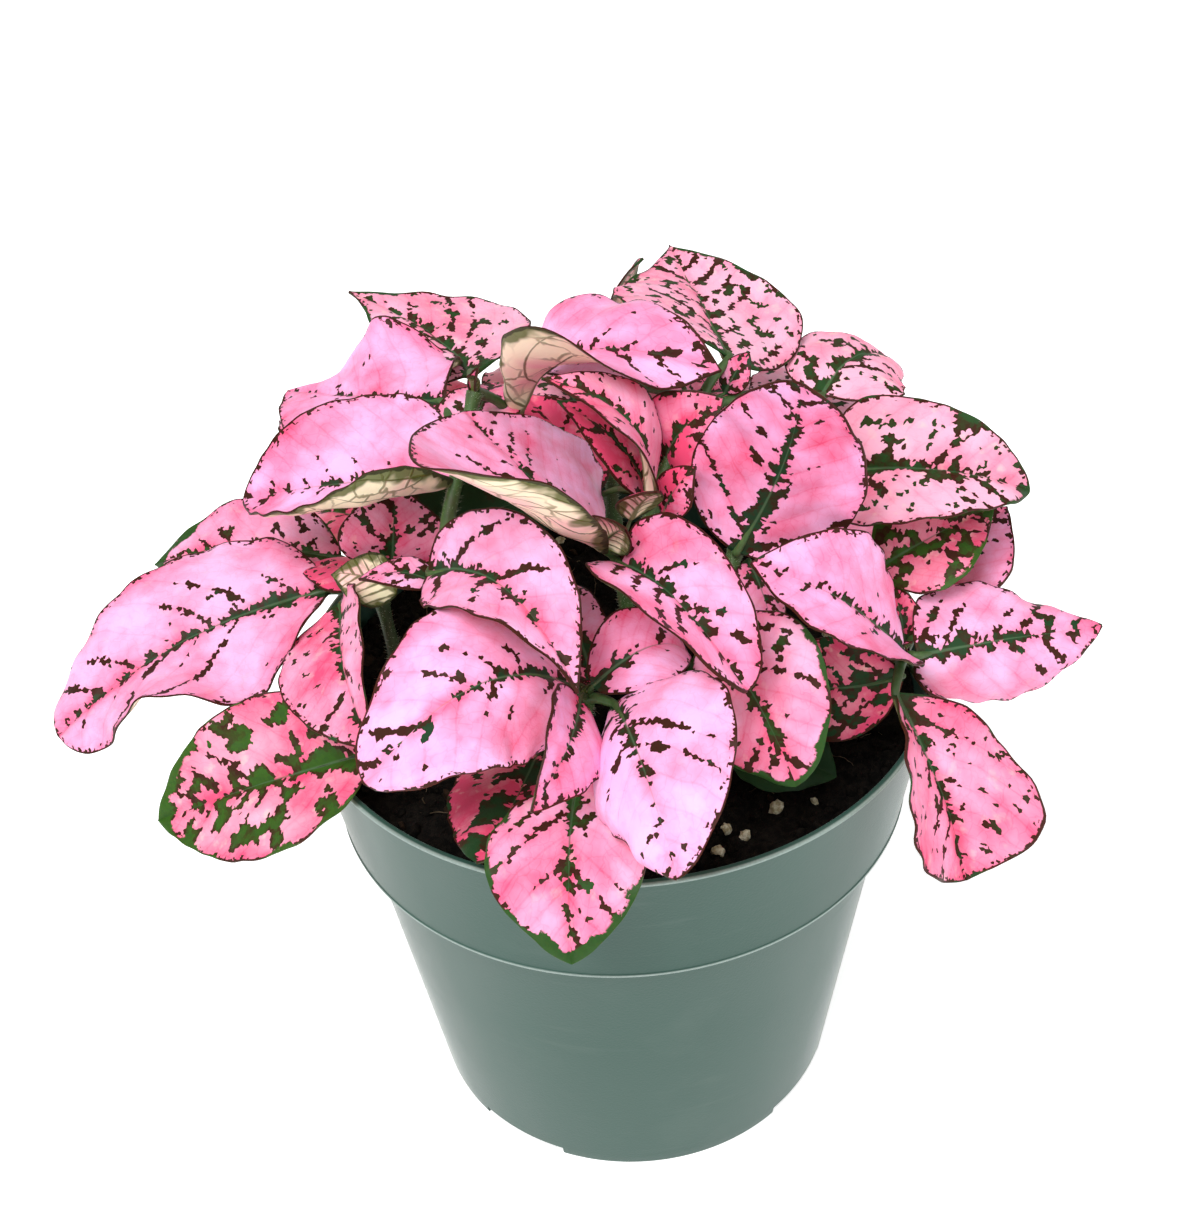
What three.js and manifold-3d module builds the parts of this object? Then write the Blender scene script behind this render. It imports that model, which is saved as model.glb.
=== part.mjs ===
// A polka dot plant in a round plastic nursery pot, in millimetres, +Z up.
// The origin is the middle of the pot's underside, and -Y is the front.
// The pot is one shell and the soil fills it. Each leafy stem is one body in a plain hole in the soil.
import * as THREE from 'three';
import { mergeVertices } from 'three/addons/utils/BufferGeometryUtils.js';
import Module from 'manifold-3d';

const wasm = await Module();
wasm.setup();

// ---- Driving dimensions -------------------------------------------------------------------------

// Pot: a tapered wall under a wider rim band, with drain slots round the edge of the floor.
const POT_HEIGHT = 88;
const RIM_RADIUS = 52.5;
const BAND_HEIGHT = 24;
const BAND_FOOT_RADIUS = 48.7;
const BAND_STEP = 2.5;
const BASE_RADIUS = 37;
const POT_WALL = 1.2;
const FLOOR_THICKNESS = 1.8;
const EDGE_ROUND = 0.8;
const POT_SEGMENTS = 36;
const SLOT_COUNT = 4;
const SLOT_WIDTH = 17;
const SLOT_HEIGHT = 2;
const SLOT_DEPTH = 5;
const SLOT_TURN = -36;

// Soil: fills the pot to a little below the rim, and its top is lumpy.
const SEAT_GAP = 0.3;
const SOIL_LEVEL = 80;
const SOIL_RINGS = 4;
const LUMP_HEIGHT = 0.8;
const LUMP_PACE = 0.3;
const CRUMB_HEIGHT = 0.4;
const CRUMB_PACE = 0.7;

// Stems: round tubes. The buried end of each is straight and stands in a plain hole.
const STEM_RADIUS = 1.5;
const STEM_SIDES = 5;
const STEM_STEPS = 4;
const STEM_FOOT = 60;
const STEM_LAP = 1;
const HOLE_SIDES = 12;
const HOLE_RADIUS = (STEM_RADIUS + SEAT_GAP) / Math.cos(Math.PI / HOLE_SIDES);

// Leaf stalks, which run on under the blade as its midrib.
const STALK_RADIUS = 0.75;
const STALK_SIDES = 4;
const STALK_STEPS = 3;
const STALK_BOW = 0.08;
const RIB_REACH = 0.1;
const RIB_DROP = 0.2;

// Blades: thin closed shells on a grid of rows from base to tip.
const BLADE_THICKNESS = 0.7;
const BLADE_ROWS = 7;
const BLADE_COLUMNS = [0, 0.55, 1];
const YOUNG_HALF = 9.1;
const YOUNG_ROWS = 5;
const YOUNG_COLUMNS = [0, 1];
const END_HALF_WIDTH = 0.4;
const SLOPE_STEP = 0.02;
const NO_CURL = 0.001;
const PLAIN_BLADE = {
  arch: 3,
  sway: 0,
  roll: 0,
  twist: 0,
  widest: 0.42,
  fullness: [0.75, 0.95],
  left: [10, -15, -15],
  right: [10, -15, -15],
  leftWave: [0, 0],
  rightWave: [0, 0],
};
const WAVES_ALONG_EDGE = 1.5;

// ---- The leafy stems ----------------------------------------------------------------------------
// path is where the stem rises, from the soil to its top node, and a leaf's stalk leaves it at `node`,
// an index into path. base and tip are the blade's two ends. half is its half width, arch its bow
// upwards and sway its bow to the right. roll turns it about the line from base to tip, right edge
// down, and twist adds to that along its length. widest is where it is widest, from 0 at the base to
// 1 at the tip, and fullness is how blunt its outline is at base and tip, fuller towards 0.
// left and right are each half's [fold, curl at the base, curl at the tip], in degrees, up from the
// blade's plane. leftWave and rightWave are each edge's waves, as [height in half widths, phase].
// What a leaf leaves out is as in PLAIN_BLADE.

const STEMS = {
  front: {
    path: [[-5, -19, 83], [-6, -24, 91], [-5, -28, 103]],
    leaves: [
      // broad and pale, right of the middle
      { node: 2, base: [-1, -32, 105], tip: [6, -66, 103], half: 15, arch: 6, sway: -1.5, roll: 20,
        twist: -10, fullness: [0.75, 0.65], left: [10, -15, -20], right: [-5, -90, -85] },
      // broad and arched, left of the middle
      { node: 2, base: [-7, -28, 105], tip: [-37, -46, 105], half: 13.5, arch: 13, sway: 1.5, roll: -25,
        twist: 10, fullness: [0.8, 0.45], left: [5, -65, -65], right: [10, -25, -20] },
      // narrow, between the two broad ones
      { node: 2, base: [-6, -34, 108], tip: [-13, -58, 109], half: 7, arch: 2.5, roll: -45, twist: -20,
        fullness: [0.75, 0.85], left: [5, -35, -30], right: [20, 10, 20] },
      // small, turned back to the right
      { node: 2, base: [-4, -29, 106], tip: [11, -20, 103], half: 7, arch: 6, roll: 15, widest: 0.4,
        fullness: [0.7, 0.95], left: [15, 0, -5], right: [10, -10, -20] },
      // hangs over the rim
      { node: 1, base: [-7, -38, 96], tip: [-9, -63, 84], half: 12, arch: 5.5, roll: 5, widest: 0.5,
        fullness: [0.8, 0.75], left: [15, -5, -5], right: [15, -15, -20] },
      // in their shade, to the left
      { node: 1, base: [-12, -21, 90], tip: [-22, -51, 93], half: 11.5, arch: -0.5, sway: -0.5,
        twist: 15, fullness: [0.75, 0.8], left: [10, -10, -5], right: [5, -35, -35] },
      // small, behind the stem
      { node: 1, base: [-4, -22, 101], tip: [-10, 2, 104], half: 5, arch: 3 },
    ],
  },
  middle: {
    path: [[3, -7, 83], [2, -11, 103], [1, -13, 117]],
    leaves: [
      // comes forward to the right
      { node: 2, base: [1, -15, 118], tip: [18, -39, 112], half: 10.5, arch: 6.5, roll: 15, twist: -20,
        widest: 0.4, fullness: [0.6, 0.5], left: [25, 30, 15], right: [35, 20, 20] },
      // its near half rolled up and over
      { node: 2, base: [-1, -14, 120], tip: [-21, 3, 135], half: 28, arch: 1, sway: -1.5, roll: 15,
        widest: 0.5, fullness: [0.6, 0.5], left: [0, 105, 0], right: [-10, -30, 5],
        leftWave: [-0.05, 90] },
      // young, at the heart
      { node: 2, base: [-2, -13, 120], tip: [2, -20, 128], half: 4, arch: 1, roll: -55,
        left: [-5, -30, -35] },
      // young, at the heart
      { node: 2, base: [3, -12, 124], tip: [7, -17, 132], half: 3.5, arch: 1, roll: -20, twist: 5,
        left: [5, -25, -25], right: [10, -15, -20] },
    ],
  },
  left: {
    path: [[-35, 0, 83], [-36, -2, 90], [-38, 3, 100]],
    leaves: [
      // the longest, its end rolled down
      { node: 2, base: [-47, 5, 101], tip: [-92, -9, 85], half: 17.5, arch: 3, sway: 2.5, roll: -10,
        twist: 15, widest: 0.4, fullness: [0.7, 0.4], left: [5, 30, 0], right: [15, -25, -25],
        leftWave: [0.35, 105], rightWave: [-0.1, -75] },
      // hangs to the front
      { node: 2, base: [-44, 0, 102], tip: [-38, -33, 100], half: 11, arch: 2.5, roll: 35, twist: 5,
        widest: 0.45, fullness: [0.8, 0.8], left: [30, 10, 10], right: [10, 5, 5] },
      // behind the longest
      { node: 2, base: [-46, 18, 98], tip: [-80, 26, 93], half: 10.5, arch: 4.5, roll: -20 },
      // upright, small
      { node: 2, base: [-36, 7, 104], tip: [-34, 10, 118], half: 9, arch: 2, roll: 35,
        fullness: [0.55, 0.95], left: [15, -10, -15], right: [10, -10, -15] },
      // young, left
      { node: 2, base: [-35, -1, 104], tip: [-45, 1, 107], half: 5, arch: 2, roll: -20,
        left: [10, -10, -10], right: [10, -10, -15] },
      // young, back
      { node: 2, base: [-38, 4, 102], tip: [-52, 10, 102], half: 6.5, arch: 2, roll: 10,
        left: [5, -20, -25], right: [5, -30, -30] },
      // low, over the rim
      { node: 1, base: [-38, -26, 93], tip: [-75, -22, 77], half: 13.5, arch: 1.5, roll: -30,
        twist: -20, fullness: [0.65, 0.8], left: [10, 0, 5], right: [15, 15, 20] },
    ],
  },
  upper_left: {
    path: [[-21, 6, 83], [-26, -1, 110], [-23, 6, 124], [-20, 12, 133]],
    leaves: [
      // broad, its near edge rolled up
      { node: 2, base: [-24, 5, 121], tip: [-60, 15, 113], half: 16, arch: 2, sway: 0.5, roll: -30,
        twist: -20, widest: 0.35, fullness: [0.7, 0.75], left: [10, 115, 50], right: [0, 0, 40],
        leftWave: [0.1, 15], rightWave: [0.1, -315] },
      // broad, behind it
      { node: 2, base: [-26, 21, 126], tip: [-55, 44, 116], half: 16, arch: 0.5, roll: -20, twist: 20,
        fullness: [0.7, 0.8], left: [20, -15, -15], right: [-5, -10, 5], rightWave: [-0.4, -60] },
      // the highest at the back
      { node: 3, base: [-22, 34, 123], tip: [-44, 59, 127], half: 15, arch: -1.5, sway: 5.5, roll: 10,
        twist: 25, widest: 0.35, fullness: [0.55, 1.05], left: [10, -30, -30], right: [15, 0, -10] },
      // twisted, reaches to the front
      { node: 1, base: [-28, -12, 116], tip: [-6, -42, 116], half: 10.5, arch: 7, sway: -1, roll: -5,
        twist: -75, fullness: [0.7, 1], left: [30, 30, 35], right: [5, -10, 10] },
      // small, points to the left
      { node: 1, base: [-26, -12, 113], tip: [-39, -10, 114], half: 4.5, arch: 2, roll: 5 },
      // small, at the back
      { node: 2, base: [-22, 10, 122], tip: [-17, 26, 126], half: 7, arch: 3 },
      // on top, its near half rolled right over
      { node: 3, base: [-14, 18, 124], tip: [18, 4, 139], half: 14, arch: 11.5, sway: 3, roll: 10,
        twist: 30, widest: 0.55, left: [30, -45, -55], right: [0, 180, 10], leftWave: [0.25, -75],
        rightWave: [0.2, -210] },
    ],
  },
  right: {
    path: [[36, -10, 83], [41, -15, 92], [44, -18, 99]],
    leaves: [
      // rises to the left
      { node: 2, base: [44, -20, 101], tip: [20, -22, 122], half: 11.5, arch: 4, roll: -30, twist: -55,
        widest: 0.45, fullness: [0.65, 0.85], left: [20, 20, 20], right: [20, -15, -20] },
      // pointed, to the right
      { node: 2, base: [46, -20, 101], tip: [76, -14, 100], half: 12, arch: -1.5, sway: -0.5, roll: 40,
        twist: -40, widest: 0.4, fullness: [0.7, 0.8], left: [-15, -30, -30], right: [-5, -75, -65],
        leftWave: [-0.2, 0], rightWave: [0.05, -90] },
      // hangs down beside the rim
      { node: 2, base: [42, -25, 98], tip: [52, -40, 72], half: 14, arch: 2.5, roll: 5, twist: 35,
        widest: 0.55, fullness: [0.75, 0.85], left: [35, -5, 10], right: [25, 20, 30],
        leftWave: [0.3, 30] },
      // upright, plain
      { node: 2, base: [54, 0, 97], tip: [65, 8, 108], half: 8.5, arch: 3, roll: 10,
        right: [10, -10, -10] },
      // upright, dark
      { node: 2, base: [42, -3, 105], tip: [61, 1, 113], half: 9, arch: 2.5, roll: 35,
        right: [15, -5, -5] },
      // young
      { node: 2, base: [45, -14, 99], tip: [44, -6, 104], half: 3, arch: 1.5, right: [15, -10, -5] },
      // young, under the node
      { node: 2, base: [46, -15, 95], tip: [52, -16, 88], half: 3, arch: 1, roll: 10,
        left: [5, -20, -20], right: [10, -20, -20] },
      // in shade, edge-on
      { node: 1, base: [44, -20, 97], tip: [24, -12, 94], half: 8.5, arch: 5.5, sway: -1, roll: -70,
        widest: 0.45, left: [15, -10, -5], right: [10, -15, -10] },
    ],
  },
  upper_right: {
    path: [[20, -2, 83], [17, -13, 107], [19, -9, 115]],
    leaves: [
      // big, upright, faces the front
      { node: 2, base: [19, -11, 116], tip: [27, -19, 150], half: 13, arch: 2.5, sway: -2, roll: -60,
        twist: -5, widest: 0.4, fullness: [0.6, 0.65], left: [10, -20, -20], right: [15, -25, 5] },
      // hangs to the front
      { node: 1, base: [14, -20, 108], tip: [25, -41, 95], half: 12, arch: 4.5, sway: -1, roll: 25,
        fullness: [0.7, 0.6], left: [15, -5, -10], right: [0, -40, -45] },
      // small, in shade
      { node: 1, base: [21, -9, 113], tip: [24, -21, 107], half: 5, arch: 0.5, roll: -20, twist: 30,
        widest: 0.45, left: [-5, -35, -25], right: [0, -30, -30] },
      // broad, spotted, to the right
      { node: 2, base: [38, 5, 119], tip: [66, 0, 117], half: 11.5, arch: 6.5, sway: 1.5, roll: 30,
        twist: -20, widest: 0.25, fullness: [0.65, 0.65], left: [30, 5, 5], right: [20, -5, -5],
        leftWave: [0.05, 60] },
      // low, just over the soil
      { node: 0, base: [17, -21, 86], tip: [33, -28, 84], half: 7.5, arch: 1.5, roll: 10, twist: 10,
        fullness: [0.7, 0.8], left: [20, 5, 10], right: [5, -20, -15] },
    ],
  },
  top: {
    path: [[7, 6, 83], [6, -3, 110], [7, -4, 122], [14, 6, 131]],
    leaves: [
      // stands to the left
      { node: 2, base: [6, -8, 124], tip: [-9, -2, 143], half: 8, arch: 6.5, roll: 5, twist: -30,
        fullness: [0.75, 1], left: [20, 0, -5], right: [15, -10, -15] },
      // behind it
      { node: 2, base: [6, -4, 122], tip: [-7, 3, 136], half: 6.5, arch: 3, roll: 5 },
      // young
      { node: 2, base: [8, -10, 123], tip: [13, -11, 132], half: 4, arch: 1, roll: 35,
        left: [10, -15, -10], right: [0, -25, -30] },
      // upright, spotted
      { node: 2, base: [9, 1, 124], tip: [18, -2, 138], half: 7, arch: 3, roll: 45, twist: -5,
        widest: 0.45, fullness: [0.8, 0.9], left: [25, 10, 10], right: [5, -25, -30] },
      // broad, at the very back
      { node: 3, base: [20, 13, 136], tip: [13, 48, 138], half: 16.5, arch: -0.5, sway: 1, roll: 20,
        twist: -40, fullness: [0.8, 1.2], left: [10, -30, -25], right: [0, 0, 30],
        rightWave: [0.05, -120] },
      // spotted, back right
      { node: 3, base: [35, 15, 127], tip: [51, 32, 120], half: 11, arch: 5, sway: -1, roll: -5,
        twist: 15, widest: 0.35, fullness: [0.65, 0.9], left: [25, -30, -40], right: [-10, -25, -40],
        leftWave: [0.05, 45] },
      // young
      { node: 3, base: [19, 9, 132], tip: [23, 11, 138], half: 3, arch: 0.5, roll: 20,
        left: [0, -25, -30], right: [5, -25, -25] },
      // in the middle of the plant
      { node: 2, base: [-3, 14, 110], tip: [-13, 27, 123], half: 8, arch: 3, left: [15, -15, -15],
        right: [15, -15, -15] },
      // a sliver, seen edge-on
      { node: 3, base: [6, 42, 129], tip: [8, 38, 141], half: 4.5, arch: 2, roll: 40,
        left: [5, -20, -20], right: [15, -10, -10] },
      // under the highest, back left
      { node: 3, base: [6, 16, 130], tip: [-8, 44, 120], half: 11, arch: 4, left: [10, -20, -20],
        right: [10, -20, -20] },
    ],
  },
  back: {
    path: [[3, 22, 83], [1, 24, 98], [1, 25, 112]],
    leaves: [
      // upper, left
      { node: 2, base: [-2, 32, 113], tip: [-16, 64, 106], half: 13, arch: 5, left: [10, -25, -25],
        right: [10, -25, -25], leftWave: [0.1, 60], rightWave: [0.1, 0] },
      // upper, right
      { node: 2, base: [6, 30, 112], tip: [32, 56, 102], half: 12, arch: 5, roll: 10,
        left: [10, -25, -25], right: [10, -25, -25], rightWave: [0.1, 90] },
      // lower, left
      { node: 1, base: [-3, 34, 99], tip: [-24, 64, 84], half: 12, arch: 4, left: [10, -20, -20],
        right: [10, -20, -20] },
      // lower, right
      { node: 1, base: [1, 34, 98], tip: [30, 60, 86], half: 11, arch: 4, left: [10, -20, -20],
        right: [10, -20, -20] },
    ],
  },
  back_left: {
    path: [[-23, 22, 83], [-28, 23, 96], [-29, 23, 108]],
    leaves: [
      // upper, outer
      { node: 2, base: [-34, 30, 109], tip: [-58, 56, 103], half: 12, arch: 5, left: [10, -25, -25],
        right: [10, -25, -25], leftWave: [0.1, 0] },
      // upper, inner
      { node: 2, base: [-28, 30, 110], tip: [-40, 62, 107], half: 11, arch: 4, left: [10, -20, -20],
        right: [10, -20, -20], rightWave: [0.1, 0] },
      // lower
      { node: 1, base: [-36, 28, 96], tip: [-66, 48, 84], half: 12, arch: 4, left: [10, -20, -20],
        right: [10, -20, -20] },
      // in the shade of the upper left ones
      { node: 1, base: [-35, 13, 104], tip: [-8, 15, 111], half: 10.5, arch: 2, roll: 35 },
    ],
  },
  back_right: {
    path: [[27, 19, 83], [30, 20, 96], [31, 21, 108]],
    leaves: [
      // upper, outer
      { node: 2, base: [37, 24, 109], tip: [66, 42, 101], half: 12, arch: 5, left: [10, -25, -25],
        right: [10, -25, -25], leftWave: [0.1, 0] },
      // upper, inner
      { node: 2, base: [32, 28, 110], tip: [46, 60, 103], half: 12, arch: 5, left: [10, -20, -20],
        right: [10, -20, -20], rightWave: [0.1, 45] },
      // lower, inner
      { node: 1, base: [35, 27, 97], tip: [60, 58, 84], half: 12, arch: 4, left: [10, -20, -20],
        right: [10, -20, -20] },
      // lower, outer
      { node: 1, base: [38, 20, 98], tip: [66, 25, 90], half: 12, arch: 4, left: [10, -20, -20],
        right: [10, -20, -20] },
    ],
  },
};

// ---- Solids -------------------------------------------------------------------------------------

const radians = THREE.MathUtils.degToRad;
const MERGE_DISTANCE = 1e-4;

function solidFrom(geometry) {
  const bare = new THREE.BufferGeometry();
  bare.setAttribute('position', geometry.getAttribute('position'));
  if (geometry.index) bare.setIndex(geometry.index);
  const merged = mergeVertices(bare, MERGE_DISTANCE);
  const kept = [];
  const corners = merged.index.array;
  for (let i = 0; i < corners.length; i += 3) {
    const [a, b, c] = [corners[i], corners[i + 1], corners[i + 2]];
    if (a !== b && b !== c && c !== a) kept.push(a, b, c);
  }
  const mesh = new wasm.Mesh({
    numProp: 3,
    vertProperties: merged.getAttribute('position').array,
    triVerts: new Uint32Array(kept),
  });
  return new wasm.Manifold(mesh);
}

function geometryFrom(solid) {
  const { vertProperties, triVerts } = solid.getMesh();
  const geometry = new THREE.BufferGeometry();
  geometry.setAttribute('position', new THREE.BufferAttribute(vertProperties, 3));
  geometry.setIndex(new THREE.BufferAttribute(triVerts, 1));
  geometry.computeVertexNormals();
  return geometry;
}

function turned(profile) {
  const points = profile.map(([radius, height]) => new THREE.Vector2(radius, height));
  return new THREE.LatheGeometry(points, POT_SEGMENTS).rotateX(Math.PI / 2);
}

function tube(points, radius, sides, steps) {
  const section = new THREE.Shape();
  for (let i = 0; i < sides; i += 1) {
    const angle = (i / sides) * 2 * Math.PI;
    const corner = [radius * Math.cos(angle), radius * Math.sin(angle)];
    if (i === 0) section.moveTo(...corner);
    else section.lineTo(...corner);
  }
  const extrudePath = new THREE.CatmullRomCurve3(points, false, 'centripetal');
  return new THREE.ExtrudeGeometry(section, { steps, extrudePath, bevelEnabled: false });
}

// ---- Pot ----------------------------------------------------------------------------------------

const LEDGE = POT_HEIGHT - BAND_HEIGHT;
const WALL_TOP_RADIUS = BAND_FOOT_RADIUS - BAND_STEP;

function potGeometry() {
  const shell = solidFrom(turned([
    [0, 0],
    [BASE_RADIUS - EDGE_ROUND, 0],
    [BASE_RADIUS, EDGE_ROUND],
    [WALL_TOP_RADIUS, LEDGE],
    [BAND_FOOT_RADIUS - EDGE_ROUND / 2, LEDGE],
    [BAND_FOOT_RADIUS, LEDGE + EDGE_ROUND / 2],
    [RIM_RADIUS, POT_HEIGHT - EDGE_ROUND / 2],
    [RIM_RADIUS - EDGE_ROUND / 2, POT_HEIGHT],
    [RIM_RADIUS - POT_WALL, POT_HEIGHT],
    [BAND_FOOT_RADIUS - POT_WALL, LEDGE + POT_WALL],
    [WALL_TOP_RADIUS - POT_WALL, LEDGE + POT_WALL],
    [BASE_RADIUS - POT_WALL, FLOOR_THICKNESS],
    [0, FLOOR_THICKNESS],
  ]));
  const slots = [];
  for (let i = 0; i < SLOT_COUNT; i += 1) {
    const slot = new THREE.BoxGeometry(SLOT_WIDTH, 2 * SLOT_DEPTH, 2 * SLOT_HEIGHT);
    slot.translate(0, -BASE_RADIUS, 0);
    slot.rotateZ(radians(SLOT_TURN + (360 / SLOT_COUNT) * i));
    slots.push(solidFrom(slot));
  }
  return geometryFrom(shell.subtract(wasm.Manifold.union(slots)));
}

// ---- Soil ---------------------------------------------------------------------------------------

function soilHeight(x, y) {
  const lump = Math.sin(x * LUMP_PACE + 1) * Math.cos(y * LUMP_PACE);
  const crumb = Math.sin((x - y) * CRUMB_PACE);
  return SOIL_LEVEL + LUMP_HEIGHT * lump + CRUMB_HEIGHT * crumb;
}

function soilGeometry() {
  const bandSlope = (RIM_RADIUS - BAND_FOOT_RADIUS) / BAND_HEIGHT;
  const inset = POT_WALL + SEAT_GAP;
  const seat = LEDGE + POT_WALL + SEAT_GAP;
  const topRadius = BAND_FOOT_RADIUS - inset + bandSlope * (SOIL_LEVEL - LEDGE - POT_WALL);
  const profile = [
    [0, FLOOR_THICKNESS + SEAT_GAP],
    [BASE_RADIUS - inset, FLOOR_THICKNESS + SEAT_GAP],
    [WALL_TOP_RADIUS - inset, seat],
    [BAND_FOOT_RADIUS - inset, seat],
    [topRadius, SOIL_LEVEL],
  ];
  for (let ring = SOIL_RINGS - 1; ring >= 0; ring -= 1) {
    profile.push([(topRadius * ring) / SOIL_RINGS, SOIL_LEVEL]);
  }
  const mound = turned(profile);
  const position = mound.getAttribute('position');
  for (let i = 0; i < position.count; i += 1) {
    const [x, y, z] = [position.getX(i), position.getY(i), position.getZ(i)];
    const onTop = z > SOIL_LEVEL - 1 && Math.hypot(x, y) < topRadius - 1;
    if (onTop) position.setZ(i, soilHeight(x, y));
  }
  const holes = Object.values(STEMS).map(({ path }) => {
    const [x, y] = path[0];
    const depth = 2 * (SOIL_LEVEL - STEM_FOOT + SEAT_GAP);
    const hole = new THREE.CylinderGeometry(HOLE_RADIUS, HOLE_RADIUS, depth, HOLE_SIDES);
    return solidFrom(hole.rotateX(Math.PI / 2).translate(x, y, SOIL_LEVEL));
  });
  return geometryFrom(solidFrom(mound).subtract(wasm.Manifold.union(holes)));
}

// ---- Leaves -------------------------------------------------------------------------------------

// Shape of one blade: where its midrib runs, and how far out and up each half of it reaches.
function bladeForm(leaf) {
  const shape = { ...PLAIN_BLADE, ...leaf };
  const { base, tip, half, arch, sway, roll, twist, widest, fullness } = shape;
  const start = new THREE.Vector3(...base);
  const chord = new THREE.Vector3(...tip).sub(start);
  const along = chord.clone().normalize();
  const level = new THREE.Vector3(0, 0, 1).addScaledVector(along, -along.z).normalize();
  const across = new THREE.Vector3().crossVectors(along, level);
  const turn = radians(roll);
  const up = level.clone().multiplyScalar(Math.cos(turn)).addScaledVector(across, Math.sin(turn));
  const side = across.clone().multiplyScalar(Math.cos(turn)).addScaledVector(level, -Math.sin(turn));
  const skew = Math.log(0.5) / Math.log(widest);

  const rib = (s) => {
    const bow = 4 * s * (1 - s);
    return start.clone().addScaledVector(chord, s).addScaledVector(up, bow * arch)
      .addScaledVector(side, bow * sway);
  };

  // The point at s from base to tip and t from the left edge (-1) to the right edge (1).
  const point = (s, t) => {
    const lean = 4 * (1 - 2 * s);
    const run = chord.clone().addScaledVector(up, lean * arch).addScaledVector(side, lean * sway)
      .normalize();
    const spin = radians(twist) * (s - 0.5);
    const out = side.clone().multiplyScalar(Math.cos(spin)).addScaledVector(up, -Math.sin(spin));
    out.addScaledVector(run, -out.dot(run)).normalize();
    const normal = new THREE.Vector3().crossVectors(out, run);
    const bluntness = THREE.MathUtils.lerp(fullness[0], fullness[1], s);
    const width = Math.max(half * Math.sin(Math.PI * s ** skew) ** bluntness, END_HALF_WIDTH);
    const [fold, curlBase, curlTip] = (t < 0 ? shape.left : shape.right).map(radians);
    const [wave, phase] = t < 0 ? shape.leftWave : shape.rightWave;
    const bend = THREE.MathUtils.lerp(curlBase, curlTip, s) || NO_CURL;
    const reach = Math.abs(t);
    const over = (Math.sin(fold + bend * reach) - Math.sin(fold)) / bend;
    const rise = (Math.cos(fold) - Math.cos(fold + bend * reach)) / bend;
    const ripple = wave * reach ** 2 * Math.sin(2 * Math.PI * WAVES_ALONG_EDGE * s + radians(phase));
    return rib(s).addScaledVector(out, Math.sign(t) * width * over)
      .addScaledVector(normal, width * (rise + ripple));
  };
  return { rib, point, up, half };
}

// A closed shell of even thickness round the blade's surface, split alike on both faces.
function bladeGeometry({ point, half }) {
  const young = half < YOUNG_HALF;
  const rows = young ? YOUNG_ROWS : BLADE_ROWS;
  const outwards = (young ? YOUNG_COLUMNS : BLADE_COLUMNS).slice(1);
  const columns = [...outwards.map((t) => -t).reverse(), 0, ...outwards];
  const stride = columns.length;
  const top = [];
  const bottom = [];
  for (let row = 0; row <= rows; row += 1) {
    const s = row / rows;
    for (const t of columns) {
      const near = point(Math.max(s - SLOPE_STEP, 0), t);
      const far = point(Math.min(s + SLOPE_STEP, 1), t);
      const leftward = point(s, Math.max(t - SLOPE_STEP, -1));
      const rightward = point(s, Math.min(t + SLOPE_STEP, 1));
      const normal = rightward.sub(leftward).cross(far.sub(near)).normalize();
      const middle = point(s, t);
      top.push(middle.clone().addScaledVector(normal, BLADE_THICKNESS / 2));
      bottom.push(middle.clone().addScaledVector(normal, -BLADE_THICKNESS / 2));
    }
  }
  const faces = [];
  const lower = top.length;
  const triangle = (a, b, c) => faces.push(a, b, c);
  const wall = (a, b) => {
    triangle(a, lower + a, lower + b);
    triangle(a, lower + b, b);
  };
  for (let row = 0; row < rows; row += 1) {
    const first = row * stride;
    const last = first + stride - 1;
    for (let a = first; a < last; a += 1) {
      const [b, c, d] = [a + 1, a + 1 + stride, a + stride];
      triangle(a, b, c);
      triangle(a, c, d);
      triangle(lower + a, lower + c, lower + b);
      triangle(lower + a, lower + d, lower + c);
    }
    wall(first + stride, first);
    wall(last, last + stride);
  }
  for (let a = 0; a < stride - 1; a += 1) {
    const end = rows * stride + a;
    wall(a, a + 1);
    wall(end + 1, end);
  }
  const geometry = new THREE.BufferGeometry();
  geometry.setFromPoints([...top, ...bottom]);
  geometry.setIndex(faces);
  return geometry;
}

// The stalk leaves the stem, bends to the blade's base and runs on under it.
function stalkGeometry({ rib, up }, from) {
  const under = (s) => rib(s).addScaledVector(up, -RIB_DROP);
  const midway = from.clone().lerp(rib(0), 0.5);
  midway.z += from.distanceTo(rib(0)) * STALK_BOW;
  const route = [from, midway, under(0), under(RIB_REACH)];
  return tube(route, STALK_RADIUS, STALK_SIDES, STALK_STEPS);
}

// One stem with its leaves, joined. A crumb that the joining leaves loose is dropped.
function leafyStemGeometry({ path, leaves }) {
  const nodes = path.map((place) => new THREE.Vector3(...place));
  const [x, y, neck] = path[0];
  const foot = new THREE.Vector3(x, y, STEM_FOOT);
  const top = new THREE.Vector3(x, y, neck + STEM_LAP);
  const solids = [
    solidFrom(tube([foot, top], STEM_RADIUS, STEM_SIDES, 1)),
    solidFrom(tube(nodes, STEM_RADIUS, STEM_SIDES, STEM_STEPS)),
  ];
  for (const leaf of leaves) {
    const form = bladeForm(leaf);
    solids.push(solidFrom(stalkGeometry(form, nodes[leaf.node])));
    solids.push(solidFrom(bladeGeometry(form)));
  }
  const bodies = wasm.Manifold.union(solids).decompose();
  const [whole] = bodies.sort((a, b) => b.volume() - a.volume());
  return geometryFrom(whole);
}

// ---- The plant ----------------------------------------------------------------------------------

function named(name, geometry, color, roughness) {
  const material = new THREE.MeshStandardMaterial({ color, roughness, metalness: 0 });
  const mesh = new THREE.Mesh(geometry, material);
  mesh.name = name;
  return mesh;
}

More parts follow.
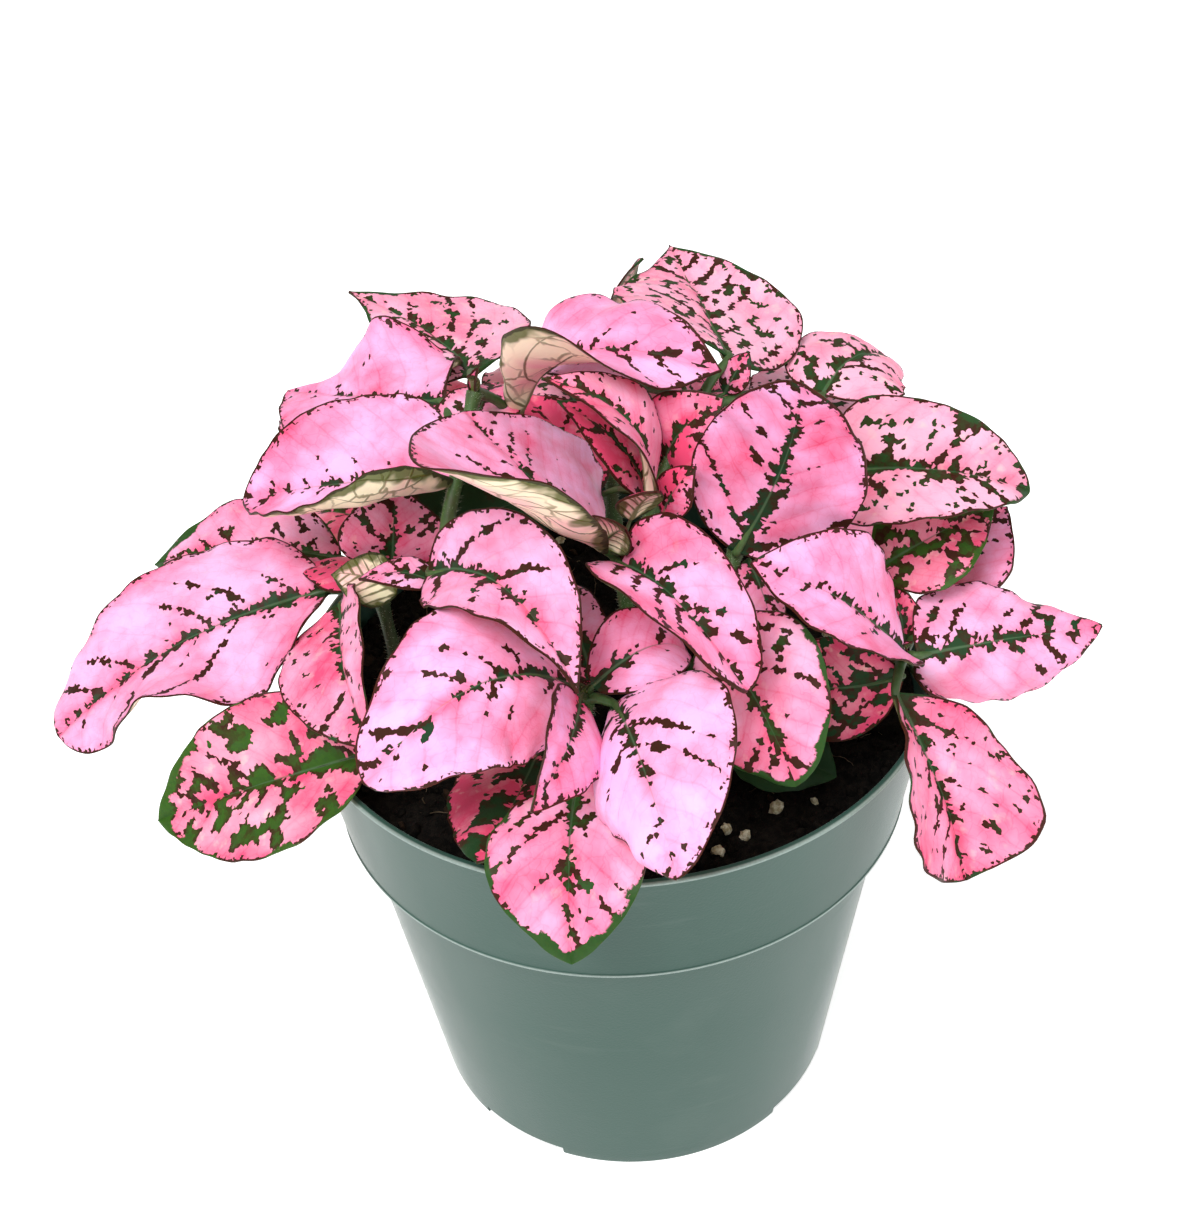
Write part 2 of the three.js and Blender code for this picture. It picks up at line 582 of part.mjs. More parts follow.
const plant = new THREE.Group();
plant.add(named('pot', potGeometry(), 0x6f8780, 0.5));
plant.add(named('soil', soilGeometry(), 0x17130f, 0.95));
for (const [name, stem] of Object.entries(STEMS)) {
  plant.add(named(`leafy_stem_${name}`, leafyStemGeometry(stem), 0xf4a6cf, 0.6));
}

export default plant;
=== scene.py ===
import math

import bmesh
import bpy
import numpy as np
from mathutils import Matrix, Vector, noise


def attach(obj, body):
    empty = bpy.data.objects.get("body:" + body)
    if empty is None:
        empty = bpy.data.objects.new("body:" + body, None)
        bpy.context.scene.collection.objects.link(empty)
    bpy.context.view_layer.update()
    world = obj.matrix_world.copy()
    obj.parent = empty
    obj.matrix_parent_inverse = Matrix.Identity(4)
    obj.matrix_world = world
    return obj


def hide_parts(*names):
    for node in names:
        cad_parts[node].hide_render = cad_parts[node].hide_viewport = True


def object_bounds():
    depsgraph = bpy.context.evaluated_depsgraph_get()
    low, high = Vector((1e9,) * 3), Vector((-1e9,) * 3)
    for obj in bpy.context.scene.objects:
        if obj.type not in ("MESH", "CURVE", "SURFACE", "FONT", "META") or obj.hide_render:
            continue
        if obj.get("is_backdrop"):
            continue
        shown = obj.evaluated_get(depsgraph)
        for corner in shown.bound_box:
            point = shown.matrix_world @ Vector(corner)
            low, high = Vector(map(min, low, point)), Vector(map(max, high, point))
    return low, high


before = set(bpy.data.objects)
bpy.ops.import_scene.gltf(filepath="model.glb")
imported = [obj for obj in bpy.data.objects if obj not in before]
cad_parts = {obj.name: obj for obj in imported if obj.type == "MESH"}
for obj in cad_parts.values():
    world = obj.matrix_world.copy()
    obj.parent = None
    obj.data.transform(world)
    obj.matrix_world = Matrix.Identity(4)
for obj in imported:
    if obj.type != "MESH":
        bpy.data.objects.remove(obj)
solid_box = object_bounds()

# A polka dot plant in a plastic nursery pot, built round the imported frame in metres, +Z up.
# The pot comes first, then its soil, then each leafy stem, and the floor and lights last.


# ---- The view ------------------------------------------------------------------------------------
# One camera looks down on the plant from the front, leaning a little to its left, as a hand-held
# one does. Its place and lens come from the outlines of the pot's rim, band and foot.

MM = 0.001
PHOTO_WIDTH = 1200
FOCAL_LENGTH = 1838 / PHOTO_WIDTH
CAMERA_DISTANCE = 0.300
CAMERA_RISE = math.radians(37.9)
CAMERA_LEAN = math.radians(-3.2)
LOOKS_AT = Vector((-2.3, 0, 98)) * MM


def put_in_scene(name, data):
    thing = bpy.data.objects.new(name, data)
    bpy.context.scene.collection.objects.link(thing)
    return thing


towards_camera = Vector((0, -math.cos(CAMERA_RISE), math.sin(CAMERA_RISE)))
level_right = Vector((1, 0, 0))
level_up = towards_camera.cross(level_right)
right = level_right * math.cos(CAMERA_LEAN) + level_up * math.sin(CAMERA_LEAN)
above = level_up * math.cos(CAMERA_LEAN) - level_right * math.sin(CAMERA_LEAN)
turn = Matrix((right, above, towards_camera)).transposed().to_4x4()

lens = bpy.data.cameras.new("camera")
lens.sensor_fit = "HORIZONTAL"
lens.lens = lens.sensor_width * FOCAL_LENGTH
camera = put_in_scene("camera", lens)
camera.matrix_world = Matrix.Translation(LOOKS_AT + towards_camera * CAMERA_DISTANCE) @ turn
bpy.context.scene.camera = camera
bpy.context.scene.view_settings.view_transform = "Standard"


# ---- Pot -----------------------------------------------------------------------------------------
# A nursery pot, injection moulded in grey-green polypropylene about a millimetre thick. A wider
# band stiffens its rim, its corners are softly rounded, and slots round the foot let water out.


class Number:
    """A number that varies over a surface. It is written as a sum, and a material's nodes do it."""

    def __init__(self, tree, socket):
        self.tree = tree
        self.socket = socket

    def sum(self, operation, *others):
        node = self.tree.nodes.new("ShaderNodeMath")
        node.operation = operation
        for slot, value in zip(node.inputs, (self, *others)):
            if isinstance(value, Number):
                self.tree.links.new(value.socket, slot)
            else:
                slot.default_value = value
        return Number(self.tree, node.outputs[0])

    def __add__(self, other):
        return self.sum("ADD", other)

    def __sub__(self, other):
        return self.sum("SUBTRACT", other)

    def __mul__(self, other):
        return self.sum("MULTIPLY", other)

    def __truediv__(self, other):
        return self.sum("DIVIDE", other)

    def __gt__(self, other):
        return self.sum("GREATER_THAN", other)

    def __neg__(self):
        return self * -1

    def __abs__(self):
        return self.sum("ABSOLUTE")

    def __rsub__(self, other):
        return -self + other

    __radd__ = __add__
    __rmul__ = __mul__

    def rounded(self):
        return self.sum("ROUND")

    def larger(self, other):
        return self.sum("MAXIMUM", other)

    def smaller(self, other):
        return self.sum("MINIMUM", other)

    def between(self, low, high):
        """0 below low and 1 above high, with a soft step between them."""
        node = self.tree.nodes.new("ShaderNodeMapRange")
        node.interpolation_type = "SMOOTHSTEP"
        self.tree.links.new(self.socket, node.inputs["Value"])
        node.inputs["From Min"].default_value = low
        node.inputs["From Max"].default_value = high
        return Number(self.tree, node.outputs["Result"])


class Finish:
    """One material: a shader with its constants, and the patterns that drive its other inputs."""

    def __init__(self, name, constants):
        self.material = bpy.data.materials.new(name)
        self.material.use_nodes = True
        self.tree = self.material.node_tree
        self.shader = self.tree.nodes["Principled BSDF"]
        for socket, value in constants.items():
            self.shader.inputs[socket].default_value = value

    def node(self, kind, settings, inputs):
        node = self.tree.nodes.new(kind)
        for name, value in settings.items():
            setattr(node, name, value)
        for name, value in inputs.items():
            if isinstance(value, Number):
                self.tree.links.new(value.socket, node.inputs[name])
            else:
                node.inputs[name].default_value = value
        return node

    def parts(self, vector):
        """The three numbers of a vector."""
        node = self.node("ShaderNodeSeparateXYZ", {}, {"Vector": vector})
        return [Number(self.tree, socket) for socket in node.outputs]

    def vector(self, x, y, z=0.0):
        node = self.node("ShaderNodeCombineXYZ", {}, {"X": x, "Y": y, "Z": z})
        return Number(self.tree, node.outputs["Vector"])

    def mark(self, name):
        """The three numbers that the mesh holds under this name at each of its points."""
        node = self.node("ShaderNodeAttribute", {"attribute_name": name}, {})
        return self.parts(Number(self.tree, node.outputs["Vector"]))

    def place(self):
        """Where a point of the piece lies, in millimetres."""
        node = self.node("ShaderNodeTexCoord", {}, {})
        x, y, z = self.parts(Number(self.tree, node.outputs["Object"]))
        return x / MM, y / MM, z / MM

    def clouds(self, place, size, detail=2.0):
        """Soft noise from 0 to 1 whose blots are about size across."""
        inputs = {"Vector": place, "Scale": 1 / size, "Detail": detail}
        return Number(self.tree, self.node("ShaderNodeTexNoise", {}, inputs).outputs["Fac"])

    def cells(self, place, feature):
        """The cells round scattered points one unit apart: their centres, colours or edges."""
        settings = {"feature": feature, "voronoi_dimensions": "2D"}
        cells = self.node("ShaderNodeTexVoronoi", settings, {"Vector": place, "Scale": 1.0})
        return {socket.name: Number(self.tree, socket) for socket in cells.outputs}

    def blend(self, amount, none, full):
        """The colour none where amount is 0 and the colour full where it is 1."""
        node = self.node("ShaderNodeMix", {"data_type": "RGBA"}, {"Factor": amount})
        for socket, colour in zip((node.inputs[6], node.inputs[7]), (none, full)):
            if isinstance(colour, Number):
                self.tree.links.new(colour.socket, socket)
            else:
                socket.default_value = (*colour, 1)
        return Number(self.tree, node.outputs[2])

    def drive(self, socket, value):
        self.tree.links.new(value.socket, self.shader.inputs[socket])

    def relief(self, height, depth):
        """Raises the surface's light and shade by depth millimetres where height is 1."""
        inputs = {"Strength": 1.0, "Distance": depth * MM, "Height": height}
        node = self.node("ShaderNodeBump", {}, inputs)
        self.tree.links.new(node.outputs["Normal"], self.shader.inputs["Normal"])


class Piece:
    """The points, faces and markings of one piece, gathered part by part in millimetres."""

    MARKS = ("place", "bounds", "signs", "tint")

    def __init__(self):
        self.points = []
        self.faces = []
        self.skins = []
        self.marks = {name: [] for name in self.MARKS}
        self.count = 0

    def add(self, points, faces, skin=0, **marks):
        points = np.asarray(points, float).reshape(-1, 3)
        self.faces.extend([corner + self.count for corner in face] for face in faces)
        self.skins.extend([skin] * len(faces) if np.isscalar(skin) else skin)
        self.points.append(points)
        for name in self.MARKS:
            self.marks[name].append(np.broadcast_to(marks.get(name, 0.0), points.shape))
        self.count += len(points)

    def mesh(self, name):
        mesh = bpy.data.meshes.new(name)
        mesh.from_pydata((np.concatenate(self.points) * MM).tolist(), [], self.faces)
        return mesh

    def finish(self, name, node, slot, finishes, sharp):
        """Makes the piece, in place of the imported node, with its material slots in order."""
        mesh = self.mesh(name)
        mesh.polygons.foreach_set("material_index", self.skins)
        mesh.shade_smooth()
        mesh.set_sharp_from_angle(angle=math.radians(sharp))
        for finish in finishes:
            mesh.materials.append(finish.material)
        if any(np.any(rows) for rows in self.marks["place"]):
            for mark, rows in self.marks.items():
                attribute = mesh.attributes.new(mark, "FLOAT_VECTOR", "POINT")
                attribute.data.foreach_set("vector", np.concatenate(rows).ravel())
        piece = put_in_scene(name, mesh)
        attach(piece, "root")
        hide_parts(node)
        return piece


CORNER_STEPS = 4


def soften(outline):
    """The outline as (radius, height) points, with each corner rounded by its third number."""
    soft = [outline[0][:2]]
    for before, (*corner, rounding), after in zip(outline, outline[1:], outline[2:]):
        before, corner, after = (np.array(point[:2], float) for point in (before, corner, after))
        if rounding == 0:
            soft.append(corner)
            continue
        back = (before - corner) / np.linalg.norm(before - corner)
        on = (after - corner) / np.linalg.norm(after - corner)
        half_angle = math.acos(np.clip(back @ on, -1, 1)) / 2
        reach = rounding / math.tan(half_angle)
        start, end = corner + back * reach, corner + on * reach
        for share in np.linspace(0, 1, CORNER_STEPS + 1):
            rest = 1 - share
            soft.append(rest**2 * start + 2 * share * rest * corner + share**2 * end)
    return np.array([*soft, outline[-1][:2]], float)


def lathe(outline, segments):
    """An outline of (radius, height) points turned about the upright axis, as points and faces."""
    angles = np.linspace(0, 2 * math.pi, segments, endpoint=False)
    rings = [[(r * math.cos(a), r * math.sin(a), z) for a in angles] for r, z in outline[1:-1]]
    middles = [(0, 0, outline[0][1]), (0, 0, outline[-1][1])]
    points = [*middles, *(point for ring in rings for point in ring)]
    faces = []
    last = len(rings) - 1
    for i in range(segments):
        j = (i + 1) % segments
        faces.append((0, 2 + j, 2 + i))
        faces.append((1, 2 + last * segments + i, 2 + last * segments + j))
        for ring in range(last):
            low, high = 2 + ring * segments, 2 + (ring + 1) * segments
            faces.append((low + i, low + j, high + j, high + i))
    return points, faces


POT_HEIGHT = 88
RIM_RADIUS = 52.5
BAND_HEIGHT = 24
BAND_FOOT_RADIUS = 48.7
BAND_STEP = 2.5
BASE_RADIUS = 37
POT_WALL = 1.2
LIP = 0.22
FLOOR_THICKNESS = 1.8
POT_SEGMENTS = 180
SLOT_COUNT = 4
SLOT_WIDTH = 17
SLOT_HEIGHT = 2
SLOT_DEPTH = 5
SLOT_TURN = -36
LEDGE = POT_HEIGHT - BAND_HEIGHT
WALL_TOP_RADIUS = BAND_FOOT_RADIUS - BAND_STEP
WALL_SLOPE = (WALL_TOP_RADIUS - BASE_RADIUS) / LEDGE
WALL_RING_HEIGHTS = (2.6, 6, 20, 40)
MOULD_RING_RADIUS = 14
MOULD_RING_DEPTH = 0.3


def pot_finish():
    """Dark green satin plastic, mould-grained, with dust, scuffs and painted highlight lines."""
    shine = {"Specular IOR Level": 0.22, "Sheen Weight": 1.0, "Sheen Roughness": 0.15}
    plastic = Finish("pot plastic", shine)
    x, y, z = plastic.place()
    here = plastic.vector(x, y, z)
    streaks = plastic.clouds(plastic.vector(x, y, z * 0.15), 9, 3)
    grain = plastic.clouds(here, 0.4, 3)
    scratches = plastic.clouds(plastic.vector(x * 0.2, y * 0.2, z * 1.6), 4, 5)
    scuffs = scratches.between(0.58, 0.80) * 0.16
    dust = scuffs + plastic.clouds(here, 14, 4).between(0.5, 0.75) * 0.1
    green = plastic.blend(streaks, (0.024, 0.066, 0.051), (0.033, 0.081, 0.064))
    dusty = plastic.blend(dust, green, (0.15, 0.19, 0.17))
    # Painted highlights: a thin pale line along the lip at the band's foot and another round the
    # rim's outer top edge, where light catches those edges.
    foot = 1 - abs(z - LEDGE - LIP).between(0.1, 0.35)
    rim = (x * x + y * y).between((RIM_RADIUS - 0.6) ** 2, (RIM_RADIUS - 0.2) ** 2)
    rim = rim * z.between(POT_HEIGHT - 0.8, POT_HEIGHT - 0.5)
    painted_highlight = foot.larger(rim) * (grain * 0.5 + 0.5)
    plastic.drive("Base Color", plastic.blend(painted_highlight, dusty, (0.32, 0.39, 0.36)))
    plastic.drive("Roughness", streaks * 0.12 + dust * 0.4 + 0.32)
    plastic.relief(grain, 0.035)
    return plastic


def pot_outline():
    """The pot's outline, from the middle of its underside up the outside and down the inside."""
    wall = [(BASE_RADIUS + WALL_SLOPE * z, z, 0) for z in WALL_RING_HEIGHTS]
    return soften(
        [
            (0, 0, 0),
            (MOULD_RING_RADIUS - 1, 0, 0),
            (MOULD_RING_RADIUS - 0.7, MOULD_RING_DEPTH, 0),
            (MOULD_RING_RADIUS + 0.7, MOULD_RING_DEPTH, 0),
            (MOULD_RING_RADIUS + 1, 0, 0),
            (BASE_RADIUS - SLOT_DEPTH - 1, 0, 0),
            (BASE_RADIUS, 0, 0.7),
            *wall,
            (WALL_TOP_RADIUS, LEDGE, 0.5),
            (BAND_FOOT_RADIUS + LIP, LEDGE, 0.12),
            (BAND_FOOT_RADIUS + LIP, LEDGE + 2 * LIP, 0.12),
            (BAND_FOOT_RADIUS + 0.05, LEDGE + 2.6 * LIP, 0.1),
            (RIM_RADIUS - LIP, POT_HEIGHT - 2.6 * LIP, 0.1),
            (RIM_RADIUS, POT_HEIGHT - 2 * LIP, 0.12),
            (RIM_RADIUS, POT_HEIGHT, 0.25),
            (RIM_RADIUS - POT_WALL, POT_HEIGHT, 0.3),
            (BAND_FOOT_RADIUS - POT_WALL, LEDGE + POT_WALL, 0.8),
            (WALL_TOP_RADIUS - POT_WALL, LEDGE + POT_WALL, 0.8),
            (BASE_RADIUS - POT_WALL, FLOOR_THICKNESS, 0.8),
            (0, FLOOR_THICKNESS, 0),
        ]
    )


def slot_blocks():
    """The blocks that cut the drain slots out of the pot's foot."""
    cutter = Piece()
    for i in range(SLOT_COUNT):
        angle = math.radians(SLOT_TURN + 360 / SLOT_COUNT * i)
        across = np.array((math.cos(angle), math.sin(angle), 0)) * SLOT_WIDTH / 2
        outwards = np.array((math.sin(angle), -math.cos(angle), 0))
        near, far = outwards * (BASE_RADIUS - SLOT_DEPTH), outwards * (BASE_RADIUS + SLOT_DEPTH)
        corners = [near - across, near + across, far + across, far - across]
        low = [corner - (0, 0, SLOT_HEIGHT) for corner in corners]
        high = [corner + (0, 0, SLOT_HEIGHT) for corner in corners]
        sides = [(k, (k + 1) % 4, (k + 1) % 4 + 4, k + 4) for k in range(4)]
        cutter.add([*low, *high], [face[::-1] for face in ((3, 2, 1, 0), (4, 5, 6, 7), *sides)])
    return cutter.mesh("slots")


def pot():
    shell = Piece()
    shell.add(*lathe(pot_outline(), POT_SEGMENTS))
    piece = shell.finish("pot_shell", "pot", "pot_plastic", [pot_finish()], sharp=35)
    slots = put_in_scene("slots", slot_blocks())
    cut = piece.modifiers.new("slots", "BOOLEAN")
    cut.object = slots
    cut.operation = "DIFFERENCE"
    cut.solver = "EXACT"
    bpy.context.view_layer.update()
    evaluated = piece.evaluated_get(bpy.context.evaluated_depsgraph_get())
    slotted = bpy.data.meshes.new_from_object(evaluated)
    piece.modifiers.clear()
    piece.data = slotted
    bpy.data.objects.remove(slots)


pot()


# ---- Soil ----------------------------------------------------------------------------------------
# Damp black peat, filled in by hand to a finger's breadth under the rim and settled into crumbs.
# Bits of fibre and bark stick out of it, with a few white grains of perlite washed up by watering.

SEAT_GAP = 0.3
SOIL_LEVEL = 80
SOIL_RINGS = 76
LUMP_HEIGHT = 0.8
LUMP_PACE = 0.3
CRUMB_HEIGHT = 0.4
CRUMB_PACE = 0.7
SOIL_INSET = POT_WALL + SEAT_GAP
SOIL_SEAT = LEDGE + POT_WALL + SEAT_GAP
BAND_SLOPE = (RIM_RADIUS - BAND_FOOT_RADIUS) / BAND_HEIGHT
SOIL_RADIUS = BAND_FOOT_RADIUS - SOIL_INSET + BAND_SLOPE * (SOIL_LEVEL - LEDGE - POT_WALL)
SOIL_SEGMENTS = 200
FINE_LUMPS = ((5, 1.0), (2.2, 1.1), (1.1, 0.7))
SOIL_CRUMBS = 1100
CRUMB_SIZES = (0.35, 1.1)
BARK_CHIPS = 40
CHIP_SIZES = (0.8, 1.9)
FIBRES = 110
FIBRE_POINTS = 9
FIBRE_STEP = 0.7
FIBRE_WANDER = 0.25
FIBRE_RISE = 0.5
FIBRE_RADII = (0.11, 0.04)
GRAIN_RISE = 0.35
GRAIN_SWELLING = 1.15

# Where each grain of perlite lies, and its radius.
PERLITE = [
    (13.8, -38.3, 1.25),
    (15.2, -34.6, 1.0),
    (18.0, -36.3, 0.85),
    (23.5, -29.7, 1.15),
    (29.6, -29.1, 0.7),
    (26.3, -24.5, 0.5),
    (15.6, -45.4, 0.4),
    (-24.0, 34.0, 1.0),
    (8.0, 41.0, 1.2),
    (-40.5, -12.0, 0.8),
    (37.0, 12.0, 1.1),
    (-9.0, 44.5, 0.9),
]


def soil_finish(name, dark, light, roughness, size=1.6):
    """Matt and crumbly, from one colour to another in small blots, with a rough broken grain."""
    peat = Finish(name, {"Roughness": roughness, "Specular IOR Level": 0.12})
    x, y, z = peat.place()
    here = peat.vector(x, y, z)
    peat.drive("Base Color", peat.blend(peat.clouds(here, size, 4).between(0.35, 0.7), dark, light))
    peat.relief(peat.clouds(here, size / 3, 5), 0.35)
    return peat


def soil_height(x, y):
    """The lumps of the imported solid, with finer ones on them."""
    height = SOIL_LEVEL + LUMP_HEIGHT * math.sin(x * LUMP_PACE + 1) * math.cos(y * LUMP_PACE)
    height += CRUMB_HEIGHT * math.sin((x - y) * CRUMB_PACE)
    for size, rise in FINE_LUMPS:
        height += rise * (abs(noise.noise(Vector((x / size, y / size, size)))) - 0.2)
    return height


def lump(centre, size, flatness, dice):
    """One crumb: a ball pushed out of shape, squashed and turned at random."""
    form = bmesh.new()
    bmesh.ops.create_icosphere(form, subdivisions=2, radius=1)
    stretch = dice.uniform(0.65, 1.25, 3) * (1, 1, flatness)
    spin = Matrix.Rotation(dice.uniform(0, math.tau), 3, Vector(dice.normal(size=3)).normalized())
    shift = Vector(dice.uniform(-90, 90, 3))
    points = []
    for corner in form.verts:
        bulge = 1 + 0.5 * noise.noise(corner.co * 1.7 + shift)
        points.append(spin @ Vector(np.array(corner.co) * bulge * stretch * size))
    faces = [[corner.index for corner in face.verts] for face in form.faces]
    form.free()
    return np.array(points) + centre, faces


def thread(route, radii, sides):
    """A tube along a route of points, as wide at each as listed, closed at both ends."""
    route = np.asarray(route, float)
    ahead = np.gradient(route, axis=0)
    ahead /= np.linalg.norm(ahead, axis=1, keepdims=True)
    first = np.cross(ahead[0], (0.3, 0.2, 1.0))
    out = first / np.linalg.norm(first)
    angles = np.linspace(0, math.tau, sides, endpoint=False)
    points = []
    for place, forwards, radius in zip(route, ahead, radii):
        out = out - forwards * (out @ forwards)
        out /= np.linalg.norm(out)
        up = np.cross(forwards, out)
        ring = np.outer(np.cos(angles), out) + np.outer(np.sin(angles), up)
        points.extend(place + ring * radius)
    faces = []
    for k in range(len(route) - 1):
        for i in range(sides):
            j = (i + 1) % sides
            faces.append((k * sides + i, k * sides + j, (k + 1) * sides + j, (k + 1) * sides + i))
    last = (len(route) - 1) * sides
    faces.append(tuple(reversed(range(sides))))
    faces.append(tuple(last + i for i in range(sides)))
    return np.array(points), faces


def soil():
    peat = soil_finish("peat", (0.0022, 0.0018, 0.0015), (0.0105, 0.0080, 0.0060), 0.95, size=1.2)
    bark = soil_finish("bark", (0.008, 0.005, 0.003), (0.036, 0.020, 0.011), 0.85, size=2.5)
    fibre = soil_finish("fibre", (0.05, 0.035, 0.02), (0.16, 0.12, 0.08), 0.8, size=3)
    perlite = soil_finish("perlite", (0.42, 0.35, 0.20), (0.90, 0.86, 0.68), 0.9, size=0.7)

    top = [(SOIL_RADIUS * ring / SOIL_RINGS, SOIL_LEVEL) for ring in range(SOIL_RINGS, 0, -1)]
    outline = [
        (0, FLOOR_THICKNESS + SEAT_GAP),
        (BASE_RADIUS - SOIL_INSET, FLOOR_THICKNESS + SEAT_GAP),
        (WALL_TOP_RADIUS - SOIL_INSET, SOIL_SEAT),
        (BAND_FOOT_RADIUS - SOIL_INSET, SOIL_SEAT),
        *top,
        (0, SOIL_LEVEL),
    ]
    points, faces = lathe(outline, SOIL_SEGMENTS)
    points = np.array(points)
    for point in points:
        if point[2] > SOIL_LEVEL - 1 and math.hypot(*point[:2]) < SOIL_RADIUS - 0.3:
            point[2] = soil_height(*point[:2])
    bed = Piece()
    bed.add(points, faces)
    bed.finish("soil_bed", "soil", "soil", [peat], sharp=80)

    dice = np.random.default_rng(11)
    litter = Piece()

    def somewhere(margin):
        radius = (SOIL_RADIUS - margin) * math.sqrt(dice.uniform())
        angle = dice.uniform(0, math.tau)
        x, y = radius * math.cos(angle), radius * math.sin(angle)
        return np.array((x, y, soil_height(x, y)))

    for _ in range(SOIL_CRUMBS):
        size = dice.uniform(*CRUMB_SIZES) ** 1.5 * 1.25
        litter.add(*lump(somewhere(1.4), size, 0.8, dice))
    for _ in range(BARK_CHIPS):
        litter.add(*lump(somewhere(3.0), dice.uniform(*CHIP_SIZES), 0.4, dice), skin=1)
    for x, y, size in PERLITE:
        centre = np.array((x, y, soil_height(x, y) + size * GRAIN_RISE))
        litter.add(*lump(centre, size * GRAIN_SWELLING, 0.85, dice), skin=2)
    for _ in range(FIBRES):
        start = somewhere(7.0)
        heading = dice.uniform(0, math.tau)
        route = []
        for step in np.linspace(0, 1, FIBRE_POINTS):
            heading += dice.normal() * FIBRE_WANDER
            start = start + np.array((math.cos(heading), math.sin(heading), 0)) * FIBRE_STEP
            height = soil_height(*start[:2]) + FIBRE_RISE * math.sin(math.pi * step)
            route.append((*start[:2], height))
        litter.add(*thread(route, np.linspace(*FIBRE_RADII, FIBRE_POINTS), sides=5), skin=3)
    litter.finish("soil_litter", "soil", "soil", [peat, bark, perlite, fibre], sharp=60)


soil()


# ---- Stems and leaves ----------------------------------------------------------------------------
# Each stem is soft, green and rooted in the soil, with leaves in pairs on short stalks at its
# nodes. A blade is thin and quilted between its veins, pink with green marks above and cream with
# an olive net below.

STEM_FOOT = 60
STEM_RADIUS = 1.5
STEM_TOP_RADIUS = 1.0
STEM_STEPS = 10
NODE_SWELLING = 0.35
NODE_REACH = 2.0
STALK_RADIUS = 0.8
STALK_BOW = 0.08
STALK_STEPS = 6

# How thick a stalk is by how far along it, as a share of its radius, and how far under the blade
# its end runs, by how far along the blade.
STALK_TAPER = [(0, 1.25), (0.08, 1.0), (0.3, 0.8), (0.5, 0.62), (0.8, 0.4), (1, 0.15)]
MIDRIB_DROPS = [(0.10, 0.62), (0.28, 0.72), (0.55, 0.66), (0.85, 0.5)]

# What a blade has unless its leaf says otherwise, in millimetres and degrees. A curl is the fold
# at the midrib, then the bend out to the margin at the base and at the tip. A wave is its height
# as a share of the half width, then its phase. Either half may have its own curl or wave.
PLAIN_BLADE = dict(
    arch=3,
    sway=0,
    roll=0,
    twist=0,
    widest=0.42,
    fullness=(0.75, 0.95),
    curl=(10, -15, -15),
    wave=(0, 0),
    turned=False,
)
WAVES_ALONG_EDGE = 1.5
BLADE_THICKNESS = 0.45
MARGIN_THICKNESS = 0.26
END_HALF_WIDTH = 0.15
NO_CURL = 0.001
VEIN_GAPS = 7.0
VEIN_LEAN = 0.75
VEIN_BEND = 0.018
VEIN_TURN = 1 / math.hypot(1, VEIN_LEAN)
VEIN_OFFSET = 0.4
MIDRIB_GROOVE = 0.4
MIDRIB_GROOVE_WIDTH = 0.75
MIDRIB_KEEL = 0.5
MIDRIB_KEEL_WIDTH = 0.7
VEIN_GROOVE = 0.06
VEIN_GROOVE_WIDTH = 0.55
QUILTING = 0.07
QUILT_SIZE = 7
PUCKER_SIZE = 2.6
EDGE_RUFFLE = 0.26
ROWS_TO_A_MILLIMETRE = 1.7
ROW_LIMITS = (30, 84)
COLUMNS_TO_A_MILLIMETRE = 1.25
COLUMN_LIMITS = (7, 19)
SEED_STEP = 0.37
HAIRS_TO_A_STEP = 14
HAIR_LENGTH = 0.8
HAIR_RADIUS = 0.03
BUD_LENGTH = 3.6
BUD_LEAN = 1.3
BUD_CURL = (35, 60, 20)
CELL_WIDTH = 0.45
CELL_LENGTH = 0.6

# How each look is marked: specks, patches and ribs, then depth of pink, green edge and fresh green.
LOOKS = dict(
    palest=((0.15, 0.0, 0.5), (0.14, 0.0, 0.0)),
    clear=((0.10, 0.0, 0.35), (0.34, 0.0, 0.0)),
    lined=((0.25, 0.1, 0.8), (0.34, 0.0, 0.1)),
    branched=((0.05, 0.0, 1.0), (0.45, 0.0, 0.0)),
    tipped=((0.35, 0.3, 0.8), (0.50, 0.7, 0.5)),
    specked=((0.75, 0.2, 0.6), (0.50, 0.2, 0.2)),
    mottled=((0.45, 0.85, 0.7), (0.60, 0.7, 0.9)),
    spotted=((0.8, 0.5, 0.8), (0.15, 0.4, 0.3)),
    # The next two looks carry the leaves' own marks, and a deeper, darker pink that is painted shade
    # for leaves deep in the plant.
    russet=((0.85, 0.8, 0.9), (0.95, 0.3, 0.1)),
    dusky=((0.5, 0.3, 0.6), (0.95, 0.2, 0.2)),
    young=((0.35, 0.0, 0.5), (0.60, 0.0, 0.0)),
    green=((0.6, 1.1, 1.0), (0.70, 1.0, 0.9)),
    # Painted shade: nearly all dark green, for leaves low and deep in the plant where shade falls.
    shaded=((0.9, 1.7, 1.4), (0.95, 1.2, 0.1)),
)


def vein_row(x, reach, side, gap):
    """How many side veins a point has passed, counted from the base of its blade."""
    return (x - reach * VEIN_LEAN - reach * reach * VEIN_BEND) / gap + side * VEIN_OFFSET


def nearest_vein(finish, x, reach, side):
    """Which side vein each point lies by, and how far from it in millimetres."""
    _, length, _ = finish.mark("bounds")
    gap = length / VEIN_GAPS
    row = vein_row(x, reach, side, gap)
    vein = row.rounded()
    return vein, abs(row - vein) * gap * VEIN_TURN


def own_spot(finish, x, y, seed):
    """A point of the blade, shifted so that each leaf takes its clouds from another place."""
    return finish.vector(x + seed * 61, y + seed * 37)


COOL_PINK = (0.955, 0.480, 0.790)
WARM_PINK = (0.900, 0.410, 0.490)
DEEP_PINK = (0.790, 0.080, 0.190)
PALE_CREAM = (0.95, 0.62, 0.56)
RED_BROWN = (0.042, 0.012, 0.006)
BLUE_GREEN = (0.012, 0.042, 0.016)
FRESH_GREEN = (0.038, 0.105, 0.010)
RIB_GREEN = (0.085, 0.150, 0.075)


